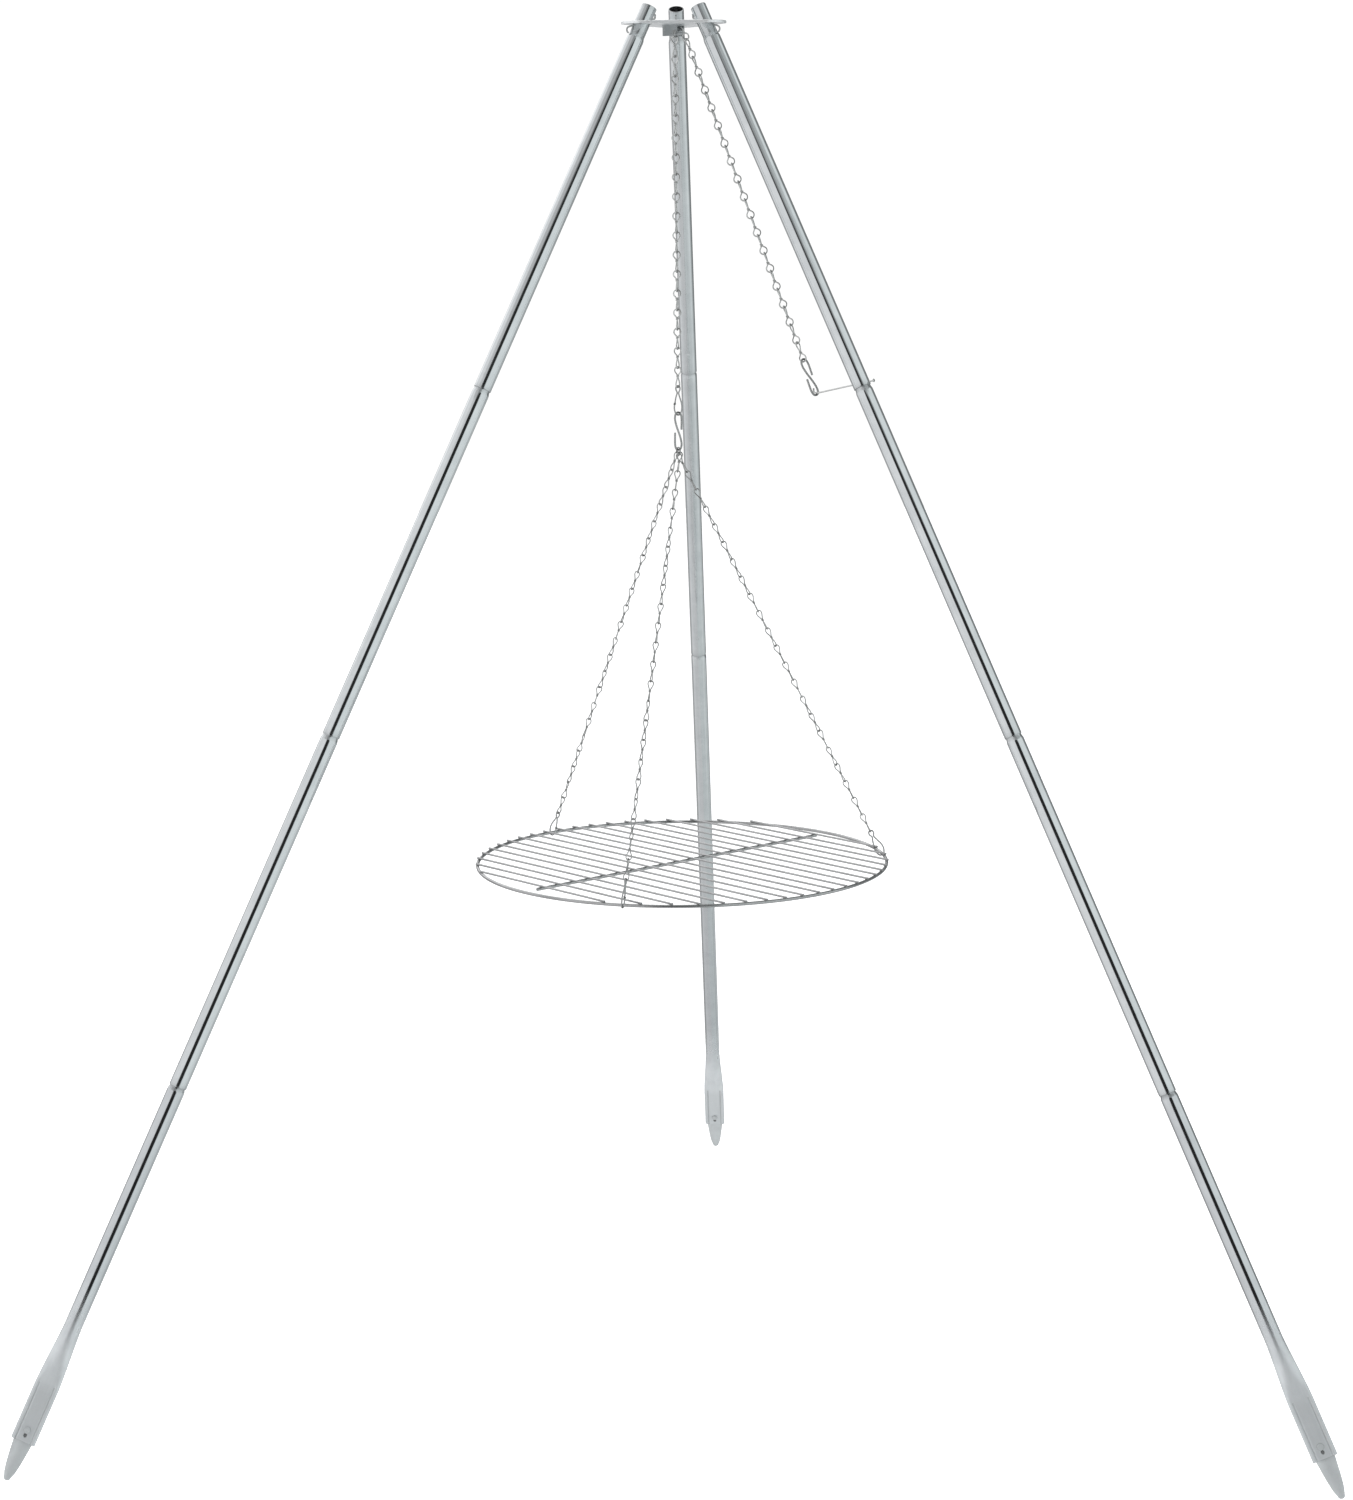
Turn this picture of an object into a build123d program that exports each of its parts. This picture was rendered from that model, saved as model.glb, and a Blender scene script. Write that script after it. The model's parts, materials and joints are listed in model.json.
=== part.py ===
"""Campfire tripod grate: three plug-together steel legs, a hub plate, and a round grate hung on chain.

Frame: millimetres, +Z up, origin on the ground under the centre of the hub plate.
One leg points along +Y (back); the other two are 120 degrees either side of it.
"""

import os
from math import atan2, cos, degrees, radians, sin, sqrt

from build123d import *

os.makedirs("parts", exist_ok=True)

# ---- driving dimensions -------------------------------------------------------------------
hub_height = 1630.0  # ground to the middle of the hub plate
leg_circle = 42.0  # hub centre to each leg hole
foot_circle = 868.0  # hub centre to the point each leg line meets the ground
leg_angles = {"back": 90.0, "left": 210.0, "right": 330.0}
foot_turns = {"back": 90.0, "left": -29.0, "right": 29.0}  # how each flat foot is turned on its leg

plate_thickness = 3.0
ear_radius = 25.0
hole_width = 19.6
hole_stretch = 3.4  # radial stretch of each leg hole, for the leaning tube

tube_radius = 10.25
tube_wall = 1.0
neck_radius = 9.17  # reduced upper end that plugs into the tube above
neck_length = 34.0
neck_taper = 6.0
top_stub = 20.5  # first tube above the hub plate
first_cut = 468.0  # hub plate to the lower end of the first tube, along the leg
tube_step = 437.0  # visible length of each further tube
shoulder_gap = 0.3
flare_length = 72.0
flat_length = 70.0
flat_width = 29.0
flat_thickness = 6.4

spike_thickness = 3.2
spike_width = 20.5
spike_tip_radius = 4.2
spike_inside = 62.0
rivet_radius = 2.4
rivet_head_radius = 4.2

pin_wire = 1.0  # wire radii
main_chain_wire = 0.9
grate_chain_wire = 0.65
snap_wire = 0.9
s_hook_wire = 1.25
rod_wire = 1.0

loop_radius = 4.3  # wire centre line of the loops at each end of a link
link_gap = 0.3
main_pitch = 22.65
main_links = 18
adjuster_pitch = 22.35
adjuster_links = 18
grate_links = 22

snap_length = 34.7  # wire centre lines
s_hook_length = 44.5
s_hook_turn = 60.0  # S-hooks, turned from the plane of the chain they hang on
hook_gap = 0.8
gather_radius = 4.7
gather_wire = 0.8

grate_height = 629.0
grate_radius = 250.0
ring_wire = 2.0
bar_wire = 1.25
bar_count = 20
bar_pitch = 23.5
bar_overhang = 3.0
bar_angle = -45.0
crossbar_half = 230.0
weld_sink = 0.15
grate_hook_angles = (12.8, 135.0, 257.2)

adjuster_angle = leg_angles["right"]
bracket_low = -11.5  # along the adjuster direction
bracket_high = 8.0
bracket_depth = 13.0
bracket_sheet = 1.5
bracket_half = 8.5
roller_centre = (5.0, -10.5)  # along the adjuster direction, and below the plate
roller_radius = 3.2
axle_radius = 1.5
axle_clearance = 0.06
side_loop_centre = (15.0, -16.0)
adjuster_slope = 23.2  # degrees from the vertical

# ---- leg geometry -------------------------------------------------------------------------
lean = atan2(foot_circle - leg_circle, hub_height)


def leg_plane(angle):
    """Leg frame: origin where the leg crosses the hub plate, +Z up the leg, +X outwards."""
    a = radians(angle)
    return Plane(
        origin=(leg_circle * cos(a), leg_circle * sin(a), hub_height),
        x_dir=(cos(lean) * cos(a), cos(lean) * sin(a), sin(lean)),
        z_dir=(-sin(lean) * cos(a), -sin(lean) * sin(a), cos(lean)),
    )


def hanger_point(u, v, z):
    """A point from its distance along and across the adjuster direction, and its height from the plate."""
    a = radians(adjuster_angle)
    return Vector(u * cos(a) + v * sin(a), u * sin(a) - v * cos(a), hub_height + z)


def hanger_vector(u, v, z):
    return hanger_point(u, v, z) - hanger_point(0, 0, 0)


def place(part, plane):
    return Location(plane) * part


def save(shape, name):
    shape.label = name
    export_step(shape, f"parts/{name}.step")


def save_group(shapes, name):
    for number, shape in enumerate(shapes, 1):
        shape.label = f"{name}_{number}"
    save(Compound(label=name, children=list(shapes)), name)


def wire_part(path, radius):
    """Round wire along an edge or wire that starts at path @ 0."""
    with BuildPart() as wire:
        with BuildSketch(Plane(origin=path @ 0, z_dir=path % 0)):
            Circle(radius)
        sweep(path=path, transition=Transition.ROUND)
    return wire.part


def spline_wire(points, radius):
    with BuildLine() as line:
        Spline(*points)
    return wire_part(line.wire(), radius)


# ---- hub ----------------------------------------------------------------------------------
with BuildPart() as hub_plate:
    with BuildSketch(Plane.XY.offset(hub_height - plate_thickness / 2)):
        with PolarLocations(leg_circle, 3, start_angle=90):
            Circle(ear_radius)
        make_hull()
        with PolarLocations(leg_circle, 3, start_angle=90):
            SlotCenterToCenter(hole_stretch, hole_width, mode=Mode.SUBTRACT)
        with Locations(hanger_vector(bracket_low + 4, 0, 0), hanger_vector(bracket_high - 4, 0, 0)):
            Circle(1.6, mode=Mode.SUBTRACT)
    extrude(amount=plate_thickness)
    fillet(hub_plate.edges().group_by(Axis.Z)[-1].group_by(SortBy.LENGTH)[-1], 0.6)

axle_plane = Plane(
    origin=hanger_point(roller_centre[0], 0, roller_centre[1]), z_dir=hanger_vector(0, 1, 0)
)
under_plate = Plane(
    origin=hanger_point(bracket_low, 0, -plate_thickness / 2),
    x_dir=hanger_vector(0, 1, 0),
    z_dir=hanger_vector(1, 0, 0),
)
with BuildPart() as pulley_bracket:
    with BuildSketch(under_plate):
        with Locations((0, bracket_depth / 2 * under_plate.y_dir.Z * -1)):
            Rectangle(2 * bracket_half, bracket_depth)
        with Locations((0, (bracket_depth + bracket_sheet) / 2 * under_plate.y_dir.Z * -1)):
            Rectangle(
                2 * (bracket_half - bracket_sheet), bracket_depth - bracket_sheet, mode=Mode.SUBTRACT
            )
    extrude(amount=bracket_high - bracket_low)
    with Locations(Location(axle_plane)):
        Cylinder(axle_radius, 4 * bracket_half, mode=Mode.SUBTRACT)
    with Locations(
        hanger_point(bracket_low + 4, 0, -2.2), hanger_point(bracket_high - 4, 0, -2.2)
    ):
        Cylinder(1.6, 4, mode=Mode.SUBTRACT)

bracket_rivets = []
for u in (bracket_low + 4, bracket_high - 4):
    with BuildPart() as bracket_rivet:
        with Locations(hanger_point(u, 0, -bracket_sheet / 2)):
            Cylinder(1.55, plate_thickness + bracket_sheet + 0.6)
        with Locations(hanger_point(u, 0, plate_thickness / 2 + 0.65)):
            Cylinder(3.0, 1.3)
        fillet(bracket_rivet.edges().group_by(Axis.Z)[-1], 0.6)
    bracket_rivets.append(bracket_rivet.part)

with BuildPart() as axle:
    Cylinder(axle_radius - 0.02, 2 * bracket_half + 1.0)
    with Locations((0, 0, bracket_half + 0.6), (0, 0, -bracket_half - 0.6)):
        Cylinder(2.6, 1.0)
roller_axle = place(axle.part, axle_plane)

with BuildPart() as roller:
    Cylinder(roller_radius, 2 * (bracket_half - bracket_sheet) - 1.0)
    fillet(roller.edges(), 0.4)
    Hole(axle_radius - 0.02 + axle_clearance)
pulley_roller = place(roller.part, axle_plane)


# ---- legs ---------------------------------------------------------------------------------
def tube_profile(top, taper_start, taper_end, bottom):
    """Half section of a tube with a reduced upper end, between the given distances down the leg."""
    outer = [(neck_radius, -top), (neck_radius, -taper_start)]
    outer += [(tube_radius, -taper_end), (tube_radius, -bottom)]
    inner = [(radius - tube_wall, height) for radius, height in reversed(outer)]
    return outer + inner


def revolved_tube(top, taper_start, taper_end, bottom):
    with BuildPart() as tube:
        with BuildSketch(Plane.XZ):
            with BuildLine():
                Polyline(*tube_profile(top, taper_start, taper_end, bottom), close=True)
            make_face()
        revolve(axis=Axis.Z)
    return tube.part


def flat_oval(width, thickness):
    SlotOverall(width, thickness)


def foot_tube_part(top, cut_above, bottom):
    """Lowest tube: its end is pressed flat around the spike."""
    flare_end = bottom - flat_length
    flare_start = flare_end - flare_length
    with BuildPart() as tube:
        add(revolved_tube(top, cut_above + shoulder_gap, cut_above + neck_taper, flare_start))
        with BuildPart(mode=Mode.PRIVATE) as outside:
            with BuildSketch(Plane.XY.offset(-flare_start)):
                Circle(tube_radius)
            with BuildSketch(Plane.XY.offset(-flare_end)):
                flat_oval(flat_width, flat_thickness)
            loft()
            with BuildSketch(Plane.XY.offset(-bottom)):
                flat_oval(flat_width, flat_thickness)
            extrude(amount=flat_length)
        with BuildPart(mode=Mode.PRIVATE) as inside:
            with BuildSketch(Plane.XY.offset(-flare_start)):
                Circle(tube_radius - tube_wall)
            with BuildSketch(Plane.XY.offset(-flare_end)):
                flat_oval(flat_width - 2 * tube_wall, flat_thickness - 2 * tube_wall)
            loft()
            with BuildSketch(Plane.XY.offset(-bottom)):
                flat_oval(flat_width - 2 * tube_wall, flat_thickness - 2 * tube_wall)
            extrude(amount=flat_length)
        add(outside.part - inside.part)
        with Locations(Location((0, 0, -(bottom - 14.0)), (90, 0, 0))):
            Cylinder(rivet_radius + 0.05, 3 * flat_thickness, mode=Mode.SUBTRACT)
    return tube.part


def spike_tip_centre(turn):
    """Distance down the leg to the centre of the rounded tip, so that the tip just meets the ground."""
    t = radians(turn)
    reach = spike_tip_radius * sqrt(cos(lean) ** 2 + (sin(lean) * cos(t)) ** 2)
    reach += spike_thickness / 2 * sin(lean) * abs(sin(t))
    return (hub_height - reach) / cos(lean)


def spike_part(turn, bottom):
    tip = -spike_tip_centre(turn)
    with BuildPart() as spike:
        with BuildSketch(Plane.XZ.offset(-spike_thickness / 2)):
            with BuildLine():
                Polyline(
                    (-spike_tip_radius, tip),
                    (-spike_width / 2, -bottom),
                    (-spike_width / 2, -bottom + spike_inside),
                    (spike_width / 2, -bottom + spike_inside),
                    (spike_width / 2, -bottom),
                    (spike_tip_radius, tip),
                )
                ThreePointArc((spike_tip_radius, tip), (0, tip - spike_tip_radius), (-spike_tip_radius, tip))
            make_face()
        extrude(amount=spike_thickness)
        with Locations(Location((0, 0, -(bottom - 14.0)), (90, 0, 0))):
            Cylinder(rivet_radius + 0.05, 3 * spike_thickness, mode=Mode.SUBTRACT)
    return spike.part


def spike_rivet_part(bottom):
    with BuildPart() as rivet:
        with Locations(Location((0, 0, -(bottom - 14.0)), (90, 0, 0))):
            Cylinder(rivet_radius, flat_thickness + 1.0)
        for side in (-1, 1):
            with Locations(Location((0, side * (flat_thickness / 2 + 0.7), -(bottom - 14.0)), (90, 0, 0))):
                Cylinder(rivet_head_radius, 1.2)
        fillet(rivet.edges().group_by(Axis.Y)[-1], 0.5)
        fillet(rivet.edges().group_by(Axis.Y)[0], 0.5)
    return rivet.part


# The stop pin slants through the tube: its looped end sits under the plate outside the tube,
# and its bent tip sits over the plate inside the tube's lean.
pin_inner = (-12.9, 11.6)
pin_outer = (13.6, -12.24)
with BuildPart() as stop_pin:
    with BuildLine(Plane.XZ) as pin_path:
        bent = FilletPolyline((-10.6, 16.4), pin_inner, pin_outer, radius=1.4)
        TangentArc(pin_outer, (10.9, -18.6), tangent=bent % 1)
    with BuildSketch(Plane(origin=pin_path.wire() @ 0, z_dir=pin_path.wire() % 0)):
        Circle(pin_wire)
    sweep(path=pin_path.wire())

pin_direction = Vector(pin_outer[0] - pin_inner[0], 0, pin_outer[1] - pin_inner[1])

# ---- chain --------------------------------------------------------------------------------
def chain_link(length, wire):
    """Double-loop link: origin at the upper crown, +Z down the chain, upper loop in XZ, lower in YZ."""
    bar = length - 4 * loop_radius
    with BuildPart() as link:
        with Locations(Location((0, 0, loop_radius), (90, 0, 0))):
            Torus(loop_radius, wire)
        with Locations(Location((0, 0, length - loop_radius), (0, 90, 0))):
            Torus(loop_radius, wire)
        with Locations((0, 0, length / 2)):
            Cylinder(wire * 1.45, bar + 0.8)
    return link.part


def chain_run(start, direction, across, count, pitch, wire, twist=0.0):
    """Links one after another from start; across is the side direction of the first upper loop."""
    link = chain_link(pitch + 2 * wire + link_gap, wire)
    direction = direction.normalized()
    links = []
    for number in range(count):
        side = across.rotate(Axis((0, 0, 0), tuple(direction)), twist * number / max(1, count - 1))
        plane = Plane(origin=start + direction * (pitch * number), x_dir=side, z_dir=direction)
        links.append(place(link, plane))
    return links


loop_reach = main_chain_wire + link_gap / 2
first_contact = -15.0
hang_loop_centre = first_contact - loop_reach + loop_radius
slope = radians(adjuster_slope)
adjuster_down = hanger_vector(sin(slope), 0, -cos(slope))

with BuildPart() as chain_top_link:
    with Locations(
        Location(Plane(origin=hanger_point(0, 0, hang_loop_centre), z_dir=hanger_vector(1, 0, 0)))
    ):
        Torus(loop_radius, main_chain_wire)
    side_centre = hanger_point(side_loop_centre[0], 0, side_loop_centre[1])
    with Locations(Location(Plane(origin=side_centre, z_dir=hanger_vector(0, 1, 0)))):
        Torus(loop_radius, main_chain_wire)
    with BuildLine() as saddle:
        ThreePointArc(
            hanger_point(0, 0, hang_loop_centre + loop_radius),
            hanger_point(6.3, 0, -5.0),
            side_centre - adjuster_down * loop_radius,
        )
    with BuildSketch(Plane(origin=saddle.wire() @ 0, z_dir=saddle.wire() % 0)):
        Circle(1.1)
    sweep(path=saddle.wire())

down = Vector(0, 0, -1)
main_start = hanger_point(0, 0, first_contact + loop_reach)
main_run = chain_run(
    main_start, down, hanger_vector(1, 0, 0), main_links, main_pitch, main_chain_wire
)
adjuster_start = side_centre + adjuster_down * (loop_radius - 2 * loop_reach)
adjuster_run = chain_run(
    adjuster_start, adjuster_down, hanger_vector(0, 1, 0), adjuster_links, adjuster_pitch, main_chain_wire
)


# ---- hooks --------------------------------------------------------------------------------
snap_outline = [
    (-1.1, 9.3),
    (-2.9, 5.4),
    (-2.6, 1.6),
    (0.0, 0.0),
    (2.6, 1.6),
    (2.9, 5.4),
    (1.1, 9.6),
    (2.6, 14.0),
    (5.0, 21.0),
    (5.3, 27.5),
    (3.4, 33.0),
    (0.0, snap_length),
    (-3.4, 33.0),
    (-5.3, 27.5),
    (-4.9, 21.0),
    (-3.1, 14.6),
]
s_hook_outline = [
    (4.3, s_hook_length / 2 - 1.5),
    (4.5, 10.0),
    (4.1, 4.4),
    (2.6, 1.0),
    (0.0, 0.0),
    (-2.6, 1.0),
    (-4.1, 4.4),
    (-4.1, 9.0),
    (-2.0, 17.0),
    (2.0, s_hook_length - 17.0),
    (4.1, s_hook_length - 9.0),
    (4.1, s_hook_length - 4.4),
    (2.6, s_hook_length - 1.0),
    (0.0, s_hook_length),
    (-2.6, s_hook_length - 1.0),
    (-4.1, s_hook_length - 4.4),
    (-4.5, s_hook_length - 10.0),
    (-4.3, s_hook_length / 2 + 1.5),
]


def bent_hook(outline, wire, origin, direction, across):
    """Flat bent-wire hook: origin at its upper crown, hanging along direction, its width along across."""
    line = spline_wire([(x, 0, z) for x, z in outline], wire)
    return place(line, Plane(origin=origin, x_dir=across, z_dir=direction.normalized()))


def snap_hook(origin, direction, across):
    """Pear-shaped wire snap hook with a rolled catch on its gate side."""
    with BuildPart() as hook:
        add(spline_wire([(x, 0, z) for x, z in snap_outline], snap_wire))
        with Locations((-3.5, 0, 16.0)):
            Cylinder(1.5, 3.4, rotation=(0, -18, 0))
    return place(hook.part, Plane(origin=origin, x_dir=across, z_dir=direction.normalized()))


s_across = hanger_vector(cos(radians(s_hook_turn)), -sin(radians(s_hook_turn)), 0)

last_main_crown = main_start.Z - (main_links - 1) * main_pitch - (main_pitch + 2 * loop_reach)
snap_top = last_main_crown + main_chain_wire + snap_wire + link_gap
s_top = snap_top - snap_length + snap_wire + s_hook_wire + hook_gap
ring_top = s_top - s_hook_length + s_hook_wire + gather_wire + hook_gap
main_snap_hook = snap_hook(Vector(0, 0, snap_top), down, hanger_vector(1, 0, 0))
main_s_hook = bent_hook(s_hook_outline, s_hook_wire, Vector(0, 0, s_top), down, s_across)

adjuster_end = adjuster_start + adjuster_down * (adjuster_links * adjuster_pitch + 2 * loop_reach)
adjuster_hook_top = adjuster_end - adjuster_down * (main_chain_wire + s_hook_wire + hook_gap)
adjuster_across = s_across - adjuster_down * s_across.dot(adjuster_down)
adjuster_s_hook = bent_hook(
    s_hook_outline, s_hook_wire, adjuster_hook_top, adjuster_down, adjuster_across
)

# The hook rod carries the adjuster chain: it passes through the first joint of the right leg.
rod_crossing = first_cut - 5.0
peg_centre = adjuster_hook_top + adjuster_down * (s_hook_length - s_hook_wire - rod_wire - 0.35)
peg_direction = hanger_vector(sin(radians(s_hook_turn)), cos(radians(s_hook_turn)), 0)
peg_near = peg_centre + peg_direction * 4.5
peg_far = peg_centre - peg_direction * 4.5
in_leg = hanger_point(leg_circle + rod_crossing * sin(lean), 0, -rod_crossing * cos(lean))
rod_direction = (in_leg - peg_near).normalized()
rod_end = in_leg + rod_direction * 17.0
with BuildPart() as hook_rod:
    with BuildLine() as rod_path:
        FilletPolyline(peg_far + Vector(0, 0, 5.5), peg_far, peg_near, rod_end, radius=1.5)
    with BuildSketch(Plane(origin=rod_path.wire() @ 0, z_dir=rod_path.wire() % 0)):
        Circle(rod_wire)
    sweep(path=rod_path.wire())
    with Locations(Location(Plane(origin=rod_end, z_dir=rod_direction))):
        Cylinder(2.1, 1.6)

gather_centre = Vector(0, 0, ring_top - gather_radius)
gather_across = Vector(-s_across.Y, s_across.X, 0)
with BuildPart() as gathering_ring:
    with Locations(Location(Plane(origin=gather_centre, z_dir=s_across))):
        Torus(gather_radius, gather_wire)

# ---- grate --------------------------------------------------------------------------------
with BuildPart() as grate_ring:
    with Locations((0, 0, grate_height)):
        Torus(grate_radius, ring_wire)

bar_height = grate_height + ring_wire + bar_wire - weld_sink
bar_direction = Vector(cos(radians(bar_angle)), sin(radians(bar_angle)), 0)
bar_step = Vector(-sin(radians(bar_angle)), cos(radians(bar_angle)), 0)
bars = []
for number in range(bar_count):
    offset = (number - (bar_count - 1) / 2) * bar_pitch
    half = sqrt(grate_radius**2 - offset**2) + bar_overhang
    with BuildPart() as bar:
        with Locations(
            Location(Plane(origin=bar_step * offset + Vector(0, 0, bar_height), z_dir=bar_direction))
        ):
            Cylinder(bar_wire, 2 * half)
        fillet(bar.edges().filter_by(GeomType.CIRCLE), 0.3)
    bars.append(bar.part)

with BuildPart() as grate_crossbar:
    with Locations(
        Location(Plane(origin=(0, 0, bar_height - bar_wire - ring_wire + weld_sink), z_dir=bar_step))
    ):
        Cylinder(ring_wire, 2 * crossbar_half)
    fillet(grate_crossbar.edges().filter_by(GeomType.CIRCLE), 0.4)

hook_reach = ring_wire + snap_wire + 0.2
grate_chains = []
grate_hooks = []
for number, angle in enumerate(grate_hook_angles):
    outward = Vector(cos(radians(angle)), sin(radians(angle)), 0)
    along_ring = Vector(-outward.Y, outward.X, 0)
    spread = radians(55.0 * round(outward.dot(gather_across)))
    tangent = gather_across * cos(spread) + Vector(0, 0, sin(spread))
    seat = gather_centre + (gather_across * sin(spread) - Vector(0, 0, cos(spread))) * gather_radius
    on_ring = outward * grate_radius + Vector(0, 0, grate_height)
    run = (on_ring - seat).normalized()
    hook_top = on_ring - run * (snap_length - hook_reach)
    hook_side = (outward - run * outward.dot(run)).normalized()
    grate_hooks.append(snap_hook(hook_top, run, hook_side))
    start = seat - run * (gather_wire + grate_chain_wire + hook_gap)
    end = hook_top + run * (grate_chain_wire + snap_wire + link_gap)
    pitch = ((end - start).length - 2 * grate_chain_wire - link_gap) / grate_links
    flat = (tangent - run * tangent.dot(run)).normalized()
    first_side = flat.cross(run)
    # the last lower loop has to cross the hook's eye, so the chain turns a little on its way down
    turn = degrees(atan2(first_side.cross(hook_side).dot(run), first_side.dot(hook_side)))
    turn = (turn + 90) % 180 - 90
    grate_chains.append(
        chain_run(start, run, first_side, grate_links, pitch, grate_chain_wire, twist=turn)
    )

# ---- leg assembly -------------------------------------------------------------------------
cuts = [first_cut + number * tube_step for number in range(4)]


def drilled(tube, origin, direction, radius):
    """A placed tube with one hole through both walls."""
    with BuildPart() as result:
        add(tube)
        with Locations(Location(Plane(origin=origin, z_dir=direction))):
            Cylinder(radius, 60, mode=Mode.SUBTRACT)
    return result.part


for side, angle in leg_angles.items():
    plane = leg_plane(angle)
    turned = Plane(plane.location * Rotation(0, 0, foot_turns[side]))
    first = revolved_tube(-top_stub, 16.0, 16.0 + neck_taper, cuts[0])
    first = drilled(first, (0, 0, 0), pin_direction, pin_wire + 0.1)
    tubes = [first]
    for number in (1, 2):
        above = cuts[number - 1]
        tubes.append(
            revolved_tube(above - neck_length, above + shoulder_gap, above + neck_taper, cuts[number])
        )
    tubes = [place(tube, plane) for tube in tubes]
    if side == "right":
        tubes[0] = drilled(tubes[0], rod_end, rod_direction, rod_wire + 0.1)
        tubes[1] = drilled(tubes[1], rod_end, rod_direction, rod_wire + 0.1)
    for number, tube in enumerate(tubes, 1):
        save(tube, f"leg_{side}_tube_{number}")
    foot = foot_tube_part(cuts[2] - neck_length, cuts[2], cuts[3])
    save(place(foot, turned), f"leg_{side}_foot_tube")
    save(place(spike_part(foot_turns[side], cuts[3]), turned), f"leg_{side}_spike")
    save(place(spike_rivet_part(cuts[3]), turned), f"leg_{side}_spike_rivet")
    save(place(stop_pin.part, plane), f"leg_{side}_stop_pin")

# ---- files --------------------------------------------------------------------------------
save(hub_plate.part, "hub_plate")
save(pulley_bracket.part, "pulley_bracket")
save(hook_rod.part, "hook_rod")
save_group(bracket_rivets, "bracket_rivets")
save(roller_axle, "roller_axle")
save(pulley_roller, "pulley_roller")
save(chain_top_link.part, "chain_top_link")
save(main_run[0], "first_link")
save_group(main_run[1:], "main_chain")
save_group(adjuster_run, "adjuster_chain")
save(main_snap_hook, "main_snap_hook")
save(main_s_hook, "main_s_hook")
save(adjuster_s_hook, "adjuster_s_hook")
save(gathering_ring.part, "gathering_ring")
for number, links in enumerate(grate_chains, 1):
    save_group(links, f"grate_chain_{number}")
for number, hook in enumerate(grate_hooks, 1):
    save(hook, f"grate_hook_{number}")
save(grate_ring.part, "grate_ring")
save_group(bars, "grate_rods")
save(grate_crossbar.part, "grate_crossbar")
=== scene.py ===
"""Looks for the campfire tripod grate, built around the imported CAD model.

Lengths are in millimetres until a mesh is made, and in metres after that. The object
coordinates of a leg piece run along its leg.
"""

import json
import random
from math import acos, atan2, cos, degrees, exp, hypot, pi, radians, sin, sqrt, tan

import bpy
from mathutils import Matrix, Vector


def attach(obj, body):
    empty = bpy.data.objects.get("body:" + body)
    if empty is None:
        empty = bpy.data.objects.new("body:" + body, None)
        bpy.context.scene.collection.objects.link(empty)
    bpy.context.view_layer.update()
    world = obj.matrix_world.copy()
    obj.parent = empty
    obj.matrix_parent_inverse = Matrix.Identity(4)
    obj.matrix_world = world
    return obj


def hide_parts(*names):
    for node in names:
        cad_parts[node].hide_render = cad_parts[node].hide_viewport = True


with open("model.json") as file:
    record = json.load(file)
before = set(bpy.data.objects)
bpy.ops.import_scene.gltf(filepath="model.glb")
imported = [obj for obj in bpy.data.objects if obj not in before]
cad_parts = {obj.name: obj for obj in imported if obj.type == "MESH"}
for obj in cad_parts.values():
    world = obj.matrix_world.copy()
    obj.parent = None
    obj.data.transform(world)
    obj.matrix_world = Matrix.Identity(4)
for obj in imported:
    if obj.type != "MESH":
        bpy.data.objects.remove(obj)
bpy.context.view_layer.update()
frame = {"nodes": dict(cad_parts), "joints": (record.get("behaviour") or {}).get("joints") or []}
joints = {joint["name"]: joint for joint in frame["joints"]}
MM = 0.001
HERE = Matrix.Identity(4)
SEED = 11
rng = random.Random(SEED)

# ---- dimensions shared with the CAD model ---------------------------------------------------
SIDES = ("back", "left", "right")
FOOT_TURNS = {"back": 90.0, "left": -29.0, "right": 29.0}
HUB_HEIGHT = joints["leg_back_fold"]["pos_m"][2] / MM
LEG_CIRCLE = 42.0
TUBE_RADIUS, TUBE_WALL = 10.25, 1.0
NECK_RADIUS, NECK_LENGTH = 9.17, 34.0
TAPER_START, TAPER_END = 0.3, 6.0  # below the end of the tube above
TOP_STUB, TOP_TAPER = 20.5, (16.0, 22.0)  # above and below the hub plate
DIMPLE_UP = 31.0  # from the lower end of a tube to its lock dimple
FIRST_CUT, TUBE_STEP = 468.0, 437.0
CUTS = [FIRST_CUT + number * TUBE_STEP for number in range(4)]
FLARE_LENGTH, FLAT_LENGTH = 72.0, 70.0
FLARE_START, FLARE_END = CUTS[3] - FLAT_LENGTH - FLARE_LENGTH, CUTS[3] - FLAT_LENGTH
FLAT_WIDTH, FLAT_THICKNESS = 29.0, 6.4
RIVET_UP = 14.0  # from the lower end of a foot to its rivet
PIT_BELOW, PIT_DEPTH = 6.4, 1.1  # the small punched pit under the rivet
# painted shade: where it centres in the pit above the foot's lower end, how strong it is there, and
# how strong along the creases
PIT_SHADE_UP, PIT_SHADE, CREASE_SHADE = 7.8, 2.2, 0.42
SPIKE_THICKNESS, SPIKE_WIDTH, SPIKE_TIP, SPIKE_INSIDE = 3.2, 22.4, 4.2, 62.0
LOOP_RADIUS, LINK_GAP, HOOK_GAP = 4.3, 0.3, 0.8
ROUND_NECK = 11.0  # from the crown of a round loop to the knot
CHAIN_WIRE, GRATE_CHAIN_WIRE = 0.9, 0.65
SNAP_WIRE, S_WIRE, GATHER_WIRE, ROD_WIRE, PIN_WIRE = 0.9, 1.25, 0.8, 1.0, 1.0
SNAP_LENGTH, S_LENGTH, S_TURN, GATHER_RADIUS = 34.7, 44.5, 60.0, 4.7
MAIN_PITCH, ADJUSTER_PITCH, LINKS, GRATE_LINKS = 22.65, 22.35, 18, 22
GRATE_HEIGHT, GRATE_RADIUS, RING_WIRE, BAR_WIRE = 629.0, 250.0, 2.0, 1.25
BAR_COUNT, BAR_PITCH, BAR_OVERHANG, BAR_ANGLE, CROSSBAR_HALF = 20, 23.5, 3.0, -45.0, 230.0
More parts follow.
